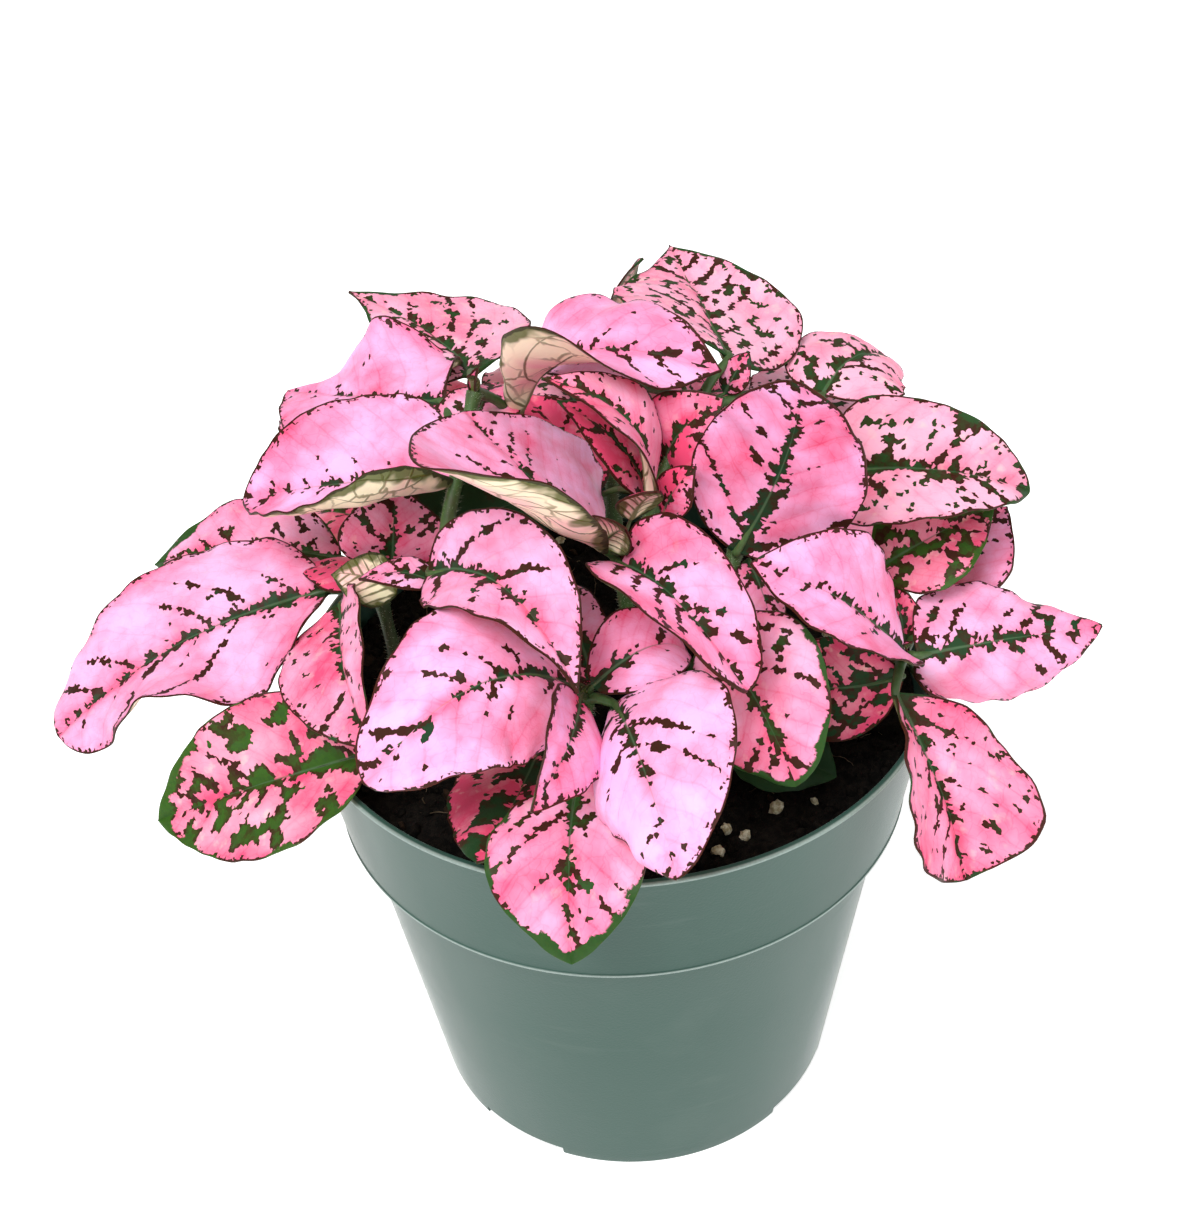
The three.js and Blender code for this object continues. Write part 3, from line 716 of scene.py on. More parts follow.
def leaf_top_finish():
    """Pink, paler in places, with green along the ribs, dark specks and a thin dark edge.

    The marks follow the leaf's own cells, which lie in rows beside the side veins, so their borders
    are ragged and point outwards.
    """
    flesh = {"Subsurface Weight": 0.15, "Subsurface Radius": (1.0, 0.35, 0.45)}
    top = Finish("leaf top", flesh | {"Subsurface Scale": 1.2 * MM, "Specular IOR Level": 0.12})
    x, y, seed = top.mark("place")
    margin, length, half = top.mark("bounds")
    specks, patches, ribs = top.mark("signs")
    deep, green_edge, fresh = top.mark("tint")
    side = y > 0
    reach = abs(y)
    spot = own_spot(top, x, y, seed)

    # The leaf's cells, a little longer along the side veins than across them.
    shift = seed * 97 + side * 43
    waver = (top.clouds(spot, 0.8, 1) - 0.5) * 0.7
    across = (x - reach * VEIN_LEAN) * VEIN_TURN + waver
    onward = (x * VEIN_LEAN + reach) * VEIN_TURN - waver
    cells = top.cells(top.vector(across / CELL_WIDTH + shift, onward / CELL_LENGTH), "F1")
    cell_across, cell_onward, _ = top.parts(cells["Position"])
    chance, other_chance, _ = top.parts(cells["Color"])
    cell_across = (cell_across - shift) * CELL_WIDTH
    cell_onward = cell_onward * CELL_LENGTH
    cell_x = (cell_across + cell_onward * VEIN_LEAN) * VEIN_TURN
    cell_reach = abs((cell_onward - cell_across * VEIN_LEAN) * VEIN_TURN)
    cell_spot = own_spot(top, cell_x, cell_reach * (side * 2 - 1), seed)
    blots = (top.clouds(cell_spot, 4.6, 1) - 0.5) * 8
    flecks = (top.clouds(cell_spot, 2.1, 1) - 0.5) * 8
    ragged = flecks * 0.5 + (chance - 0.5) * 0.5
    gone = cell_x / length
    out = cell_reach / half

    # Green along the midrib, widest at its base, and broken lines along some of the side veins.
    midrib = (1 - gone / (ribs * 0.6 + 0.42)) * (ribs * 1.2 + 0.7) * (blots * 0.35 + 0.9)
    midrib = midrib + ragged * 1.4 - cell_reach
    vein, off_vein = nearest_vein(top, cell_x, cell_reach, side)
    which = top.vector(vein, side, (seed * 100).rounded())
    luck = top.node("ShaderNodeTexWhiteNoise", {}, {"Vector": which}).outputs["Value"]
    luck = Number(top.tree, luck)
    line = ((luck * luck * ribs * 1.3 - out) * 2.5).smaller(0.42) + ragged * 0.8 > off_vein

    # Specks and patches scattered between the veins.
    scatter = flecks + (chance - 0.5) * 1.0 + specks * 2.2 > 2.9
    patch = (blots + flecks * 0.4 + patches * 2.5 - out * 0.8 - 2.1) * (patches > 0.05)

    # A green edge, widest at the tip, and the thin dark line with small teeth round every leaf.
    tip = gone.between(0.6, 1.0) * green_edge * 2.2
    green_rim = (blots * 0.8 + green_edge * 2.2 + tip - 1.5 - margin).between(-0.2, 0.2)
    green_rim = green_rim * (green_edge > 0.05)
    teeth = (flecks - 0.6).larger(0.0) * 0.7 + (chance - 0.62).larger(0.0) * 2.0 + 0.24 - margin
    teeth = teeth.between(-0.06, 0.06)

    # The middle of the wider marks is green. Their borders and most specks are reddish brown.
    marks = (midrib > 0).larger(line).larger(scatter).larger(patch > 0)
    marks = marks.larger(green_rim).larger(teeth)
    greenness = (midrib * 0.9).larger(patch * 1.1).larger(green_rim).larger(line * (blots - 0.6))
    greenness = greenness.larger(scatter * patches * 1.3).larger(0.0).smaller(1.0)
    leaf_green = top.blend(fresh * (other_chance * 0.3 + 0.75), BLUE_GREEN, FRESH_GREEN)
    dark = top.blend(greenness, RED_BROWN, leaf_green)

    # The pink itself: clouded, and deeper along the veins and in the finest net of veinlets.
    wander = top.clouds(spot, 1.2, 1)
    sway = (top.clouds(spot, 6, 1) - 0.5) * 2.4
    _, off_vein = nearest_vein(top, x + sway, reach, side)
    groove = 1 - off_vein.between(0.0, 1.3)
    rib_line = (1 - (reach + x / length * 0.4).between(0.14, 0.42)) * (ribs > 0.3)
    cloud = (top.clouds(spot, 11, 2) - 0.5) * 1.7 + (top.clouds(spot, 2.2, 2) - 0.5) * 0.45
    net = top.cells(top.vector(x / 1.9 + wander, y / 1.6 + wander), "DISTANCE_TO_EDGE")
    veinlet = (1 - off_vein.between(0.05, 0.25)) * 0.10
    veinlet = veinlet + (1 - net["Distance"].between(0.0, 0.09)) * 0.10
    depth = deep * 0.9 + cloud * 1.2 + groove * 0.06 + (1 - reach.between(0.0, 2.5)) * 0.22
    depth = (depth + veinlet + (1 - margin.between(0.3, 2.0)) * 0.1).larger(0.0).smaller(1.0)
    warmth = (specks * 0.5 + patches * 0.6).smaller(1.0)
    pink = top.blend(depth, top.blend(warmth, COOL_PINK, WARM_PINK), DEEP_PINK)
    cream = top.clouds(spot, 2.6, 3).between(0.56, 0.75) * (specks + patches) * 0.4
    pink = top.blend(cream, pink, PALE_CREAM)
    marked = top.blend(marks, pink, dark)
    top.drive("Base Color", top.blend(rib_line * 0.7, marked, RIB_GREEN))
    grain = top.clouds(spot, 0.5, 2)
    top.drive("Roughness", grain * 0.16 + marks * 0.06 + 0.34)
    top.relief(grain * 0.4 - groove * 0.15 - marks * 0.2, 0.12)
    return top


BACK_CREAM = (0.94, 0.86, 0.60)
BACK_BLUSH = (0.88, 0.50, 0.50)
BACK_GREEN = (0.075, 0.115, 0.018)
BACK_EDGE = (0.045, 0.055, 0.020)
OLIVE_VEIN = (0.085, 0.100, 0.014)


def leaf_back_finish():
    """Cream with a pink blush, netted with olive veins, and green where the top's edge is green."""
    flesh = {"Subsurface Weight": 0.15, "Subsurface Radius": (1.0, 0.5, 0.4)}
    back = Finish("leaf back", flesh | {"Subsurface Scale": 1.2 * MM, "Specular IOR Level": 0.18})
    x, y, seed = back.mark("place")
    margin, length, half = back.mark("bounds")
    deep, green_edge, _ = back.mark("tint")
    reach = abs(y)
    spot = own_spot(back, x, y, seed)

    _, off_vein = nearest_vein(back, x, reach, y > 0)
    wander = (back.clouds(spot, 2.5, 2) - 0.5) * 2
    thinning = reach / half * 0.14
    lines = 1 - (off_vein + wander * 0.2 + thinning).between(0.10, 0.32)
    drawn_out = back.vector(x / 4.0 + wander * 0.4, y / 3.2 + wander * 0.3)
    web = back.cells(drawn_out, "DISTANCE_TO_EDGE")
    net = (1 - web["Distance"].between(0.02, 0.09)) * back.clouds(spot, 7, 1).between(0.35, 0.6)
    rib = 1 - (reach + x / length * 0.5).between(0.3, 0.7)
    blush = back.clouds(spot, 9, 2).between(0.36, 0.62) * (deep * 0.4 + 0.6)
    cream = back.blend(blush, BACK_CREAM, BACK_BLUSH)
    greening = (back.clouds(spot, 4, 2) - 0.5) * 6 + green_edge * 2.5 + 1.3 - margin
    greening = greening.between(-0.3, 0.7)
    flush = back.blend(greening * 0.9, cream, BACK_GREEN)
    veins = lines.larger(net * 0.8).larger(rib)
    veined = back.blend(veins * 0.85, flush, OLIVE_VEIN)
    edge = ((back.clouds(spot, 1.6, 2) - 0.5) * 1.2 + 0.3 - margin).between(-0.08, 0.08)
    back.drive("Base Color", back.blend(edge, veined, BACK_EDGE))
    back.drive("Roughness", wander * 0.05 + 0.55)
    back.relief(veins * 0.9 + back.clouds(spot, 0.6, 2) * 0.3, 0.15)
    return back


STEM_DARK_GREEN = (0.030, 0.072, 0.018)
STEM_LIGHT_GREEN = (0.075, 0.150, 0.038)
STEM_FLUSH = (0.050, 0.024, 0.018)
STEM_LOW_DARK = (0.016, 0.020, 0.009)
STEM_DARKENING_HEIGHTS = (78, 112)


def stem_finish():
    """Soft green, flushed red and brown along its ridges, and darker low down, by the soil."""
    flesh = {"Subsurface Weight": 0.1, "Subsurface Scale": 0.8 * MM}
    green = Finish("stem", flesh | {"Specular IOR Level": 0.4})
    x, y, z = green.place()
    here = green.vector(x, y, z * 0.4)
    flush = green.clouds(here, 3.5, 3).between(0.45, 0.75)
    streak = green.clouds(green.vector(x, y, z * 0.25), 0.8, 2)
    leafy = green.blend(streak, STEM_DARK_GREEN, STEM_LIGHT_GREEN)
    flushed = green.blend(flush * 0.6, leafy, STEM_FLUSH)
    # Darker towards the soil: from 112 mm down to 78 mm the stem fades to a near-black olive.
    low_darkening = 1 - z.between(*STEM_DARKENING_HEIGHTS)
    green.drive("Base Color", green.blend(low_darkening, flushed, STEM_LOW_DARK))
    green.drive("Roughness", streak * 0.2 + 0.4)
    green.relief(streak, 0.1)
    return green


def hair_finish():
    """Stiff, and nearly white."""
    return Finish("stem hairs", {"Roughness": 0.5, "Base Color": (0.55, 0.62, 0.45, 1)})


leaf_top, leaf_back = leaf_top_finish(), leaf_back_finish()
green_stem, pale_hair = stem_finish(), hair_finish()


def unit(vectors):
    return vectors / np.linalg.norm(vectors, axis=-1, keepdims=True)


class BladeForm:
    """One blade's middle surface: s runs along it from 0 to 1, and t across it from -1 to 1."""

    def __init__(self, leaf):
        self.shape = PLAIN_BLADE | leaf
        self.base = np.array(self.shape["base"], float)
        self.chord = np.array(self.shape["tip"], float) - self.base
        self.length = np.linalg.norm(self.chord)
        self.half = self.shape["half"]
        along = unit(self.chord)
        level = unit(np.array((0, 0, 1)) - along * along[2])
        across = np.cross(along, level)
        roll = math.radians(self.shape["roll"])
        self.up = level * math.cos(roll) + across * math.sin(roll)
        self.side = across * math.cos(roll) - level * math.sin(roll)
        self.bow = self.up * self.shape["arch"] + self.side * self.shape["sway"]

    def rib(self, s):
        """The midrib, a straight line bowed by the blade's arch and sway."""
        return self.base + self.chord * s + self.bow * (4 * s * (1 - s))

    def width(self, s):
        skew = math.log(0.5) / math.log(self.shape["widest"])
        early, late = self.shape["fullness"]
        swell = np.sin(math.pi * np.clip(s, 0, 1) ** skew) ** (early + (late - early) * s)
        return np.maximum(self.half * swell, END_HALF_WIDTH)

    def by_half(self, name, t):
        """The leaf's curl or wave at each point, which is in its left half or its right half."""
        both = self.shape[name]
        halves = (self.shape.get(f"left_{name}", both), self.shape.get(f"right_{name}", both))
        return [np.where(t < 0, left, right) for left, right in zip(*halves)]

    def surface(self, s, t):
        run = unit(self.chord + self.bow * (4 * (1 - 2 * s)))
        spin = math.radians(self.shape["twist"]) * (s - 0.5)
        out = self.side * np.cos(spin) - self.up * np.sin(spin)
        out = unit(out - run * np.sum(out * run, axis=-1, keepdims=True))
        normal = np.cross(out, run)
        fold, at_base, at_tip = np.radians(self.by_half("curl", t))
        wave, phase = self.by_half("wave", t)
        bend = at_base + (at_tip - at_base) * s
        bend = np.where(np.abs(bend) < NO_CURL, NO_CURL, bend)
        reach = np.abs(t)
        over = (np.sin(fold + bend * reach) - np.sin(fold)) / bend
        rise = (np.cos(fold) - np.cos(fold + bend * reach)) / bend
        ripple = np.sin(math.tau * WAVES_ALONG_EDGE * s + np.radians(phase)) * wave * reach**2
        wide = self.width(s)
        return self.rib(s) + out * np.sign(t) * wide * over + normal * wide * (rise + ripple)


def blade_grid(form):
    """Where the blade's rows and columns of points lie, closer together towards its margin."""
    rows = int(np.clip(form.length * ROWS_TO_A_MILLIMETRE, *ROW_LIMITS))
    columns = int(np.clip(form.half * COLUMNS_TO_A_MILLIMETRE, *COLUMN_LIMITS))
    even = np.linspace(0, 1, rows + 1)
    s = 0.55 * even + 0.45 * (1 - np.cos(math.pi * even)) / 2
    right_half = np.append(np.linspace(0, 1, columns)[1:-1] ** 1.1, (0.965, 1.0))
    t = np.concatenate((-right_half[::-1], (0.0,), right_half))
    return s[:, None, None], t[None, :, None]


def soft_noise(x, y, size, drift, seed):
    """Soft noise over the blade, above and below nought, whose blots are about size across."""
    spots = [Vector((a / size + seed * drift, b / size, seed)) for a, b in zip(x.flat, y.flat)]
    return np.array([noise.noise(spot) for spot in spots]).reshape(x.shape)


def blade_relief(form, x, y, spread, wide, seed):
    """How far the skin stands off the middle surface, and how far its margin strays outwards."""

    def narrowing(share):
        """1 on the blade, falling to 0 at the ends where it is narrower than this share."""
        return np.clip(wide / (share * form.half), 0, 1)

    reach = np.abs(y)
    gap = form.length / VEIN_GAPS
    row = vein_row(x, reach, y > 0, gap)
    off_vein = np.abs(row - np.round(row)) * gap * VEIN_TURN
    quilt = soft_noise(x, y, QUILT_SIZE, 13, seed)
    pucker = soft_noise(x, y, PUCKER_SIZE, 5, seed)
    fading = (1 - spread**3) * narrowing(0.35)
    crown = (0.5 - 0.5 * np.cos(math.tau * row)) * np.clip(reach / 2.5, 0, 1)
    ruffle = np.sin(math.tau * x / (6.5 + 1.5 * math.sin(seed)) + seed + 2 * np.sign(y))
    midrib = np.exp(-((reach / MIDRIB_GROOVE_WIDTH) ** 2)) * narrowing(0.3)

    relief = -VEIN_GROOVE * np.exp(-((off_vein / VEIN_GROOVE_WIDTH) ** 2)) * fading
    relief += QUILTING * (0.7 + 1.2 * quilt) * crown * fading
    relief -= MIDRIB_GROOVE * midrib
    relief += (0.35 + 0.9 * spread) * quilt * fading**0.5 + 0.12 * pucker * fading
    relief += EDGE_RUFFLE * ruffle * spread**3 * narrowing(0.5)
    ragged = (0.28 * pucker + 0.35 * quilt) * spread**6 * np.sign(y) * narrowing(0.4)
    return relief, ragged


def sheet_faces(rows, columns):
    """The faces of a sheet, top, underside and edge, and which of the two skins each one has."""
    grid = np.arange(rows * columns).reshape(rows, columns)
    corners = (grid[:-1, :-1], grid[:-1, 1:], grid[1:, 1:], grid[1:, :-1])
    upper = np.stack(corners, axis=-1).reshape(-1, 4)
    lower = upper[:, ::-1] + grid.size
    rim = np.concatenate((grid[:, 0], grid[-1, 1:], grid[-2::-1, -1], grid[0, -2:0:-1]))
    onward = np.roll(rim, -1)
    edge = np.stack((rim, onward, onward + grid.size, rim + grid.size), axis=-1)
    skins = [0] * len(upper) + [1] * len(lower) + [0] * len(edge)
    return np.concatenate((upper, lower, edge)).tolist(), skins


def blade(leaf, seed):
    """One blade, quilted, with grooved ribs and a thin uneven margin, as Piece.add takes it."""
    form = BladeForm(leaf)
    turned = form.shape["turned"]
    s, t = blade_grid(form)
    near = form.surface(np.clip(s - 0.01, 0, 1), t)
    far = form.surface(np.clip(s + 0.01, 0, 1), t)
    left = form.surface(s, np.maximum(t - 0.02, -1))
    right = form.surface(s, np.minimum(t + 0.02, 1))
    normal = unit(np.cross(right - left, far - near)) * (-1 if turned else 1)

    wide = form.width(s + t * 0)[..., 0]
    x = (s * form.length + t * 0)[..., 0]
    y = wide * t[..., 0]
    reach = np.abs(y)
    spread = np.abs(t[..., 0])
    scale = np.clip(form.half / 12, 0.35, 1.1)
    relief, ragged = blade_relief(form, x, y, spread, wide, seed)
    middle = form.surface(s, t) + unit(right - left) * ragged[..., None]
    thick = BLADE_THICKNESS + (MARGIN_THICKNESS - BLADE_THICKNESS) * spread**4
    keel = MIDRIB_KEEL * np.exp(-((reach / MIDRIB_KEEL_WIDTH) ** 2))
    keel = keel * np.clip(1.1 - x / form.length, 0, 1) * scale
    top = middle + normal * (relief * scale + thick / 2)[..., None]
    bottom = middle + normal * (relief * scale - thick / 2 - keel)[..., None]
    points = np.concatenate((top.reshape(-1, 3), bottom.reshape(-1, 3)))

    faces, skins = sheet_faces(*x.shape)
    if turned:
        faces = [face[::-1] for face in faces]

    slope = np.gradient(wide[:, 0], s[:, 0, 0] * form.length)[:, None]
    margin = (wide - reach) / np.sqrt(1 + slope**2)
    signs, tint = LOOKS[leaf["look"]]

    def both(*numbers):
        rows = np.stack([number * np.ones_like(x) for number in numbers], axis=-1).reshape(-1, 3)
        return np.concatenate((rows, rows))

    marks = dict(
        place=both(x, y, seed),
        bounds=both(margin, form.length, form.half),
        signs=both(*signs),
        tint=both(*tint),
    )
    return points, faces, skins, marks


def smooth_route(nodes, steps):
    """Points along a smooth curve through the nodes, with steps to each stretch."""
    nodes = np.array(nodes, float)
    padded = np.concatenate((2 * nodes[:1] - nodes[1:2], nodes, 2 * nodes[-1:] - nodes[-2:-1]))
    route = []
    for a, b, c, d in zip(padded, padded[1:], padded[2:], padded[3:]):
        square, cube = 2 * a - 5 * b + 4 * c - d, 3 * b - a - 3 * c + d
        for share in np.linspace(0, 1, steps, endpoint=False):
            route.append((2 * b + (c - a) * share + square * share**2 + cube * share**3) / 2)
    return np.array([*route, nodes[-1]])


def stalk(leaf, start):
    """A leaf stalk, stout where it leaves the stem, which runs on under the blade as its midrib."""
    form = BladeForm(leaf)
    scale = np.clip(form.half / 11, 0.45, 1.1)
    down = form.up if form.shape["turned"] else -form.up
    first = form.rib(0.0) + down * 0.1
    midway = (start + first) / 2
    midway[2] += np.linalg.norm(first - start) * STALK_BOW
    under = [form.rib(s) + down * drop * scale for s, drop in MIDRIB_DROPS]
    route = smooth_route([start, midway, first, *under], STALK_STEPS)
    taper = np.interp(np.linspace(0, 1, len(route)), *zip(*STALK_TAPER))
    return thread(route, taper * STALK_RADIUS * scale, sides=10)


def hairs(route, radii, dice):
    """Short stiff hairs all round the upper part of a stem, as points and faces."""
    points, faces = [], []
    for _ in range(int(len(route) * HAIRS_TO_A_STEP)):
        at = dice.uniform(0.35, 1) * (len(route) - 1.01)
        k, share = int(at), at % 1
        along = unit(route[k + 1] - route[k])
        out = unit(np.cross(along, dice.normal(size=3)))
        root = route[k] + (route[k + 1] - route[k]) * share + out * radii[k] * 0.9
        across = np.cross(along, out) * HAIR_RADIUS
        tip = root + (out + along * 0.4) * dice.uniform(0.5, 1) * HAIR_LENGTH
        first = len(points)
        points.extend((root + along * HAIR_RADIUS, root + across, root - across, tip))
        faces.extend((first + a, first + b, first + 3) for a, b in ((0, 1), (1, 2), (2, 0)))
    return points, faces


def bud(place, dice):
    """The pair of folded leaflets that a stem ends in."""
    turn = dice.uniform(0, math.pi)
    side = np.array((math.cos(turn), math.sin(turn), 0))
    for lean in (BUD_LEAN, -BUD_LEAN):
        base = place + side * lean * 0.2
        tip = place + side * lean + (0, 0, BUD_LENGTH)
        yield dict(base=base, tip=tip, half=1.3, arch=0.6, curl=BUD_CURL, look="young")


def leafy_stem(name, path, leaves, seed):
    """Makes one stem with its stalks, and its blades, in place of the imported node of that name."""
    node = f"leafy_stem_{name}"
    path = [np.array(place, float) for place in path]
    foot = np.array((*path[0][:2], STEM_FOOT))
    route = smooth_route([foot, *path], STEM_STEPS)
    share = np.linspace(0, 1, len(route))
    radii = STEM_RADIUS + (STEM_TOP_RADIUS - STEM_RADIUS) * share
    for place in path[1:]:
        distance = np.linalg.norm(route - place, axis=1)
        radii += NODE_SWELLING * np.exp(-((distance / NODE_REACH) ** 2))
    green = Piece()
    green.add(*thread(route, radii, sides=16))
    dice = np.random.default_rng(seed)
    green.add(*hairs(route, radii, dice), skin=1)
    for leaf in leaves:
        green.add(*stalk(leaf, path[leaf["node"]]))
    green.finish(f"stem_{name}", node, "leaves", [green_stem, pale_hair], sharp=60)

    blades = Piece()
    for number, leaf in enumerate([*leaves, *bud(path[-1], dice)]):
        points, faces, skins, marks = blade(leaf, seed + number * SEED_STEP)
        blades.add(points, faces, skins, **marks)
    blades.finish(f"leaves_{name}", node, "leaves", [leaf_top, leaf_back], sharp=50)


# ---- Front stem ----------------------------------------------------------------------------------
# The stem nearest the viewer, grown from a cutting and leaning over the rim. It carries the two
# broadest pale leaves in the middle of the plant, with darker ones in their shade.

leafy_stem(
    "front",
    path=[(-5, -19, 83), (-6, -24, 91), (-5, -28, 103)],
    leaves=[
        # broad and pale, right of the middle
        dict(node=2, base=(-1, -32, 105), tip=(6, -66, 103), half=15, arch=6, sway=-1.5, roll=20,
             twist=-10, fullness=(0.75, 0.65), left_curl=(10, -15, -20),
             right_curl=(-5, -90, -85), look="palest"),
        # broad and arched, left of the middle
        dict(node=2, base=(-7, -28, 105), tip=(-37, -46, 105), half=13.5, arch=13, sway=1.5,
             roll=-25, twist=10, fullness=(0.8, 0.45), left_curl=(5, -65, -65),
             right_curl=(10, -25, -20), look="clear"),
        # narrow, between the two broad ones
        dict(node=2, base=(-6, -34, 108), tip=(-13, -58, 109), half=7, arch=2.5, roll=-45,
             twist=-20, fullness=(0.75, 0.85), left_curl=(5, -35, -30), right_curl=(20, 10, 20),
             look="clear"),
        # small, turned back to the right
        dict(node=2, base=(-4, -29, 106), tip=(11, -20, 103), half=7, arch=6, roll=15, widest=0.4,
             fullness=(0.7, 0.95), left_curl=(15, 0, -5), right_curl=(10, -10, -20),
             look="clear"),
        # hangs over the rim
        dict(node=1, base=(-7, -38, 96), tip=(-9, -63, 84), half=12, arch=5.5, roll=5, widest=0.5,
             fullness=(0.8, 0.75), left_curl=(15, -5, -5), right_curl=(15, -15, -20),
             look="tipped"),
        # in their shade, to the left
        dict(node=1, base=(-12, -21, 90), tip=(-22, -51, 93), half=11.5, arch=-0.5, sway=-0.5,
             twist=15, fullness=(0.75, 0.8), left_curl=(10, -10, -5), right_curl=(5, -35, -35),
             look="russet"),
        # small, behind the stem
        dict(node=1, base=(-4, -22, 101), tip=(-10, 2, 104), half=5, arch=3, look="lined"),
    ],
    seed=3,
)


# ---- Middle stem ---------------------------------------------------------------------------------
# The upright stem at the heart of the plant. Its top pair of leaves is full grown, the left one
# with its near half rolled up, and its growing tip holds two young ones.

leafy_stem(
    "middle",
    path=[(3, -7, 83), (2, -11, 103), (1, -13, 117)],
    leaves=[
        # comes forward to the right
        dict(node=2, base=(1, -15, 118), tip=(18, -39, 112), half=10.5, arch=6.5, roll=15,
             twist=-20, widest=0.4, fullness=(0.6, 0.5), left_curl=(25, 30, 15),
             right_curl=(35, 20, 20), look="lined"),
        # its near half rolled up and over
        dict(node=2, base=(-1, -14, 120), tip=(-21, 3, 135), half=28, arch=1, sway=-1.5, roll=15,
             widest=0.5, fullness=(0.6, 0.5), left_curl=(0, 105, 0), right_curl=(-10, -30, 5),
             left_wave=(-0.05, 90), look="clear"),
        # young, at the heart
        dict(node=2, base=(-2, -13, 120), tip=(2, -20, 128), half=4, arch=1, roll=-55,
             left_curl=(-5, -30, -35), look="young"),
        # young, at the heart
        dict(node=2, base=(3, -12, 124), tip=(7, -17, 132), half=3.5, arch=1, roll=-20, twist=5,
             left_curl=(5, -25, -25), right_curl=(10, -15, -20), look="young"),
    ],
    seed=8,
)


# ---- Left stem -----------------------------------------------------------------------------------
# A short stem that leans over the left of the rim, with the longest leaf of all. The lower leaves
# hang to the soil and over the pot's edge.

leafy_stem(
    "left",
    path=[(-35, 0, 83), (-36, -2, 90), (-38, 3, 100)],
    leaves=[
        # the longest, its end rolled down
        dict(node=2, base=(-47, 5, 101), tip=(-92, -9, 85), half=17.5, arch=3, sway=2.5, roll=-10,
             twist=15, widest=0.4, fullness=(0.7, 0.4), left_curl=(5, 30, 0),
             right_curl=(15, -25, -25), left_wave=(0.35, 105), right_wave=(-0.1, -75),
             look="lined"),
        # hangs to the front
        dict(node=2, base=(-44, 0, 102), tip=(-38, -33, 100), half=11, arch=2.5, roll=35, twist=5,
             widest=0.45, fullness=(0.8, 0.8), left_curl=(30, 10, 10), right_curl=(10, 5, 5),
             look="specked"),
        # behind the longest
        dict(node=2, base=(-46, 18, 98), tip=(-80, 26, 93), half=10.5, arch=4.5, roll=-20,
             look="tipped"),
        # upright, small
        dict(node=2, base=(-36, 7, 104), tip=(-34, 10, 118), half=9, arch=2, roll=35,
             fullness=(0.55, 0.95), left_curl=(15, -10, -15), right_curl=(10, -10, -15),
             look="specked"),
        # young, left
        dict(node=2, base=(-35, -1, 104), tip=(-45, 1, 107), half=5, arch=2, roll=-20,
             left_curl=(10, -10, -10), right_curl=(10, -10, -15), turned=True, look="young"),
        # young, back
        dict(node=2, base=(-38, 4, 102), tip=(-52, 10, 102), half=6.5, arch=2, roll=10,
             left_curl=(5, -20, -25), right_curl=(5, -30, -30), look="dusky"),
        # low, over the rim
        dict(node=1, base=(-38, -26, 93), tip=(-75, -22, 77), half=13.5, arch=1.5, roll=-30,
             twist=-20, fullness=(0.65, 0.8), left_curl=(10, 0, 5), right_curl=(15, 15, 20),
             look="mottled"),
    ],
    seed=13,
)


# ---- Upper left stem -----------------------------------------------------------------------------
# A taller stem behind the left one. Its broad leaves are hardly marked, and their near halves roll
# up or right over, so that the cream undersides show.

leafy_stem(
    "upper_left",
    path=[(-21, 6, 83), (-26, -1, 110), (-23, 6, 124), (-20, 12, 133)],
    leaves=[
        # broad, its near edge rolled up
        dict(node=2, base=(-24, 5, 121), tip=(-60, 15, 113), half=16, arch=2, sway=0.5, roll=-30,
             twist=-20, widest=0.35, fullness=(0.7, 0.75), left_curl=(10, 115, 50),
             right_curl=(0, 0, 40), left_wave=(0.1, 15), right_wave=(0.1, -315), look="clear"),
        # broad, behind it
        dict(node=2, base=(-26, 21, 126), tip=(-55, 44, 116), half=16, arch=0.5, roll=-20,
             twist=20, fullness=(0.7, 0.8), left_curl=(20, -15, -15), right_curl=(-5, -10, 5),
             right_wave=(-0.4, -60), look="clear"),
        # the highest at the back
        dict(node=3, base=(-22, 34, 123), tip=(-44, 59, 127), half=15, arch=-1.5, sway=5.5,
             roll=10, twist=25, widest=0.35, fullness=(0.55, 1.05), left_curl=(10, -30, -30),
             right_curl=(15, 0, -10), look="spotted"),
        # twisted, reaches to the front
        dict(node=1, base=(-28, -12, 116), tip=(-6, -42, 116), half=10.5, arch=7, sway=-1,
             roll=-5, twist=-75, fullness=(0.7, 1), left_curl=(30, 30, 35),
             right_curl=(5, -10, 10), look="lined"),
        # small, points to the left
        dict(node=1, base=(-26, -12, 113), tip=(-39, -10, 114), half=4.5, arch=2, roll=5,
             look="lined"),
        # small, at the back
        dict(node=2, base=(-22, 10, 122), tip=(-17, 26, 126), half=7, arch=3, look="specked"),
        # on top, its near half rolled right over
        dict(node=3, base=(-14, 18, 124), tip=(18, 4, 139), half=14, arch=11.5, sway=3, roll=10,
             twist=30, widest=0.55, left_curl=(30, -45, -55), right_curl=(0, 180, 10),
             left_wave=(0.25, -75), right_wave=(0.2, -210), look="clear"),
    ],
    seed=18,
)


# ---- Right stem ----------------------------------------------------------------------------------
# A stem that leans over the right of the rim. One leaf hangs down beside the pot, and a young side
# shoot sits at the node.

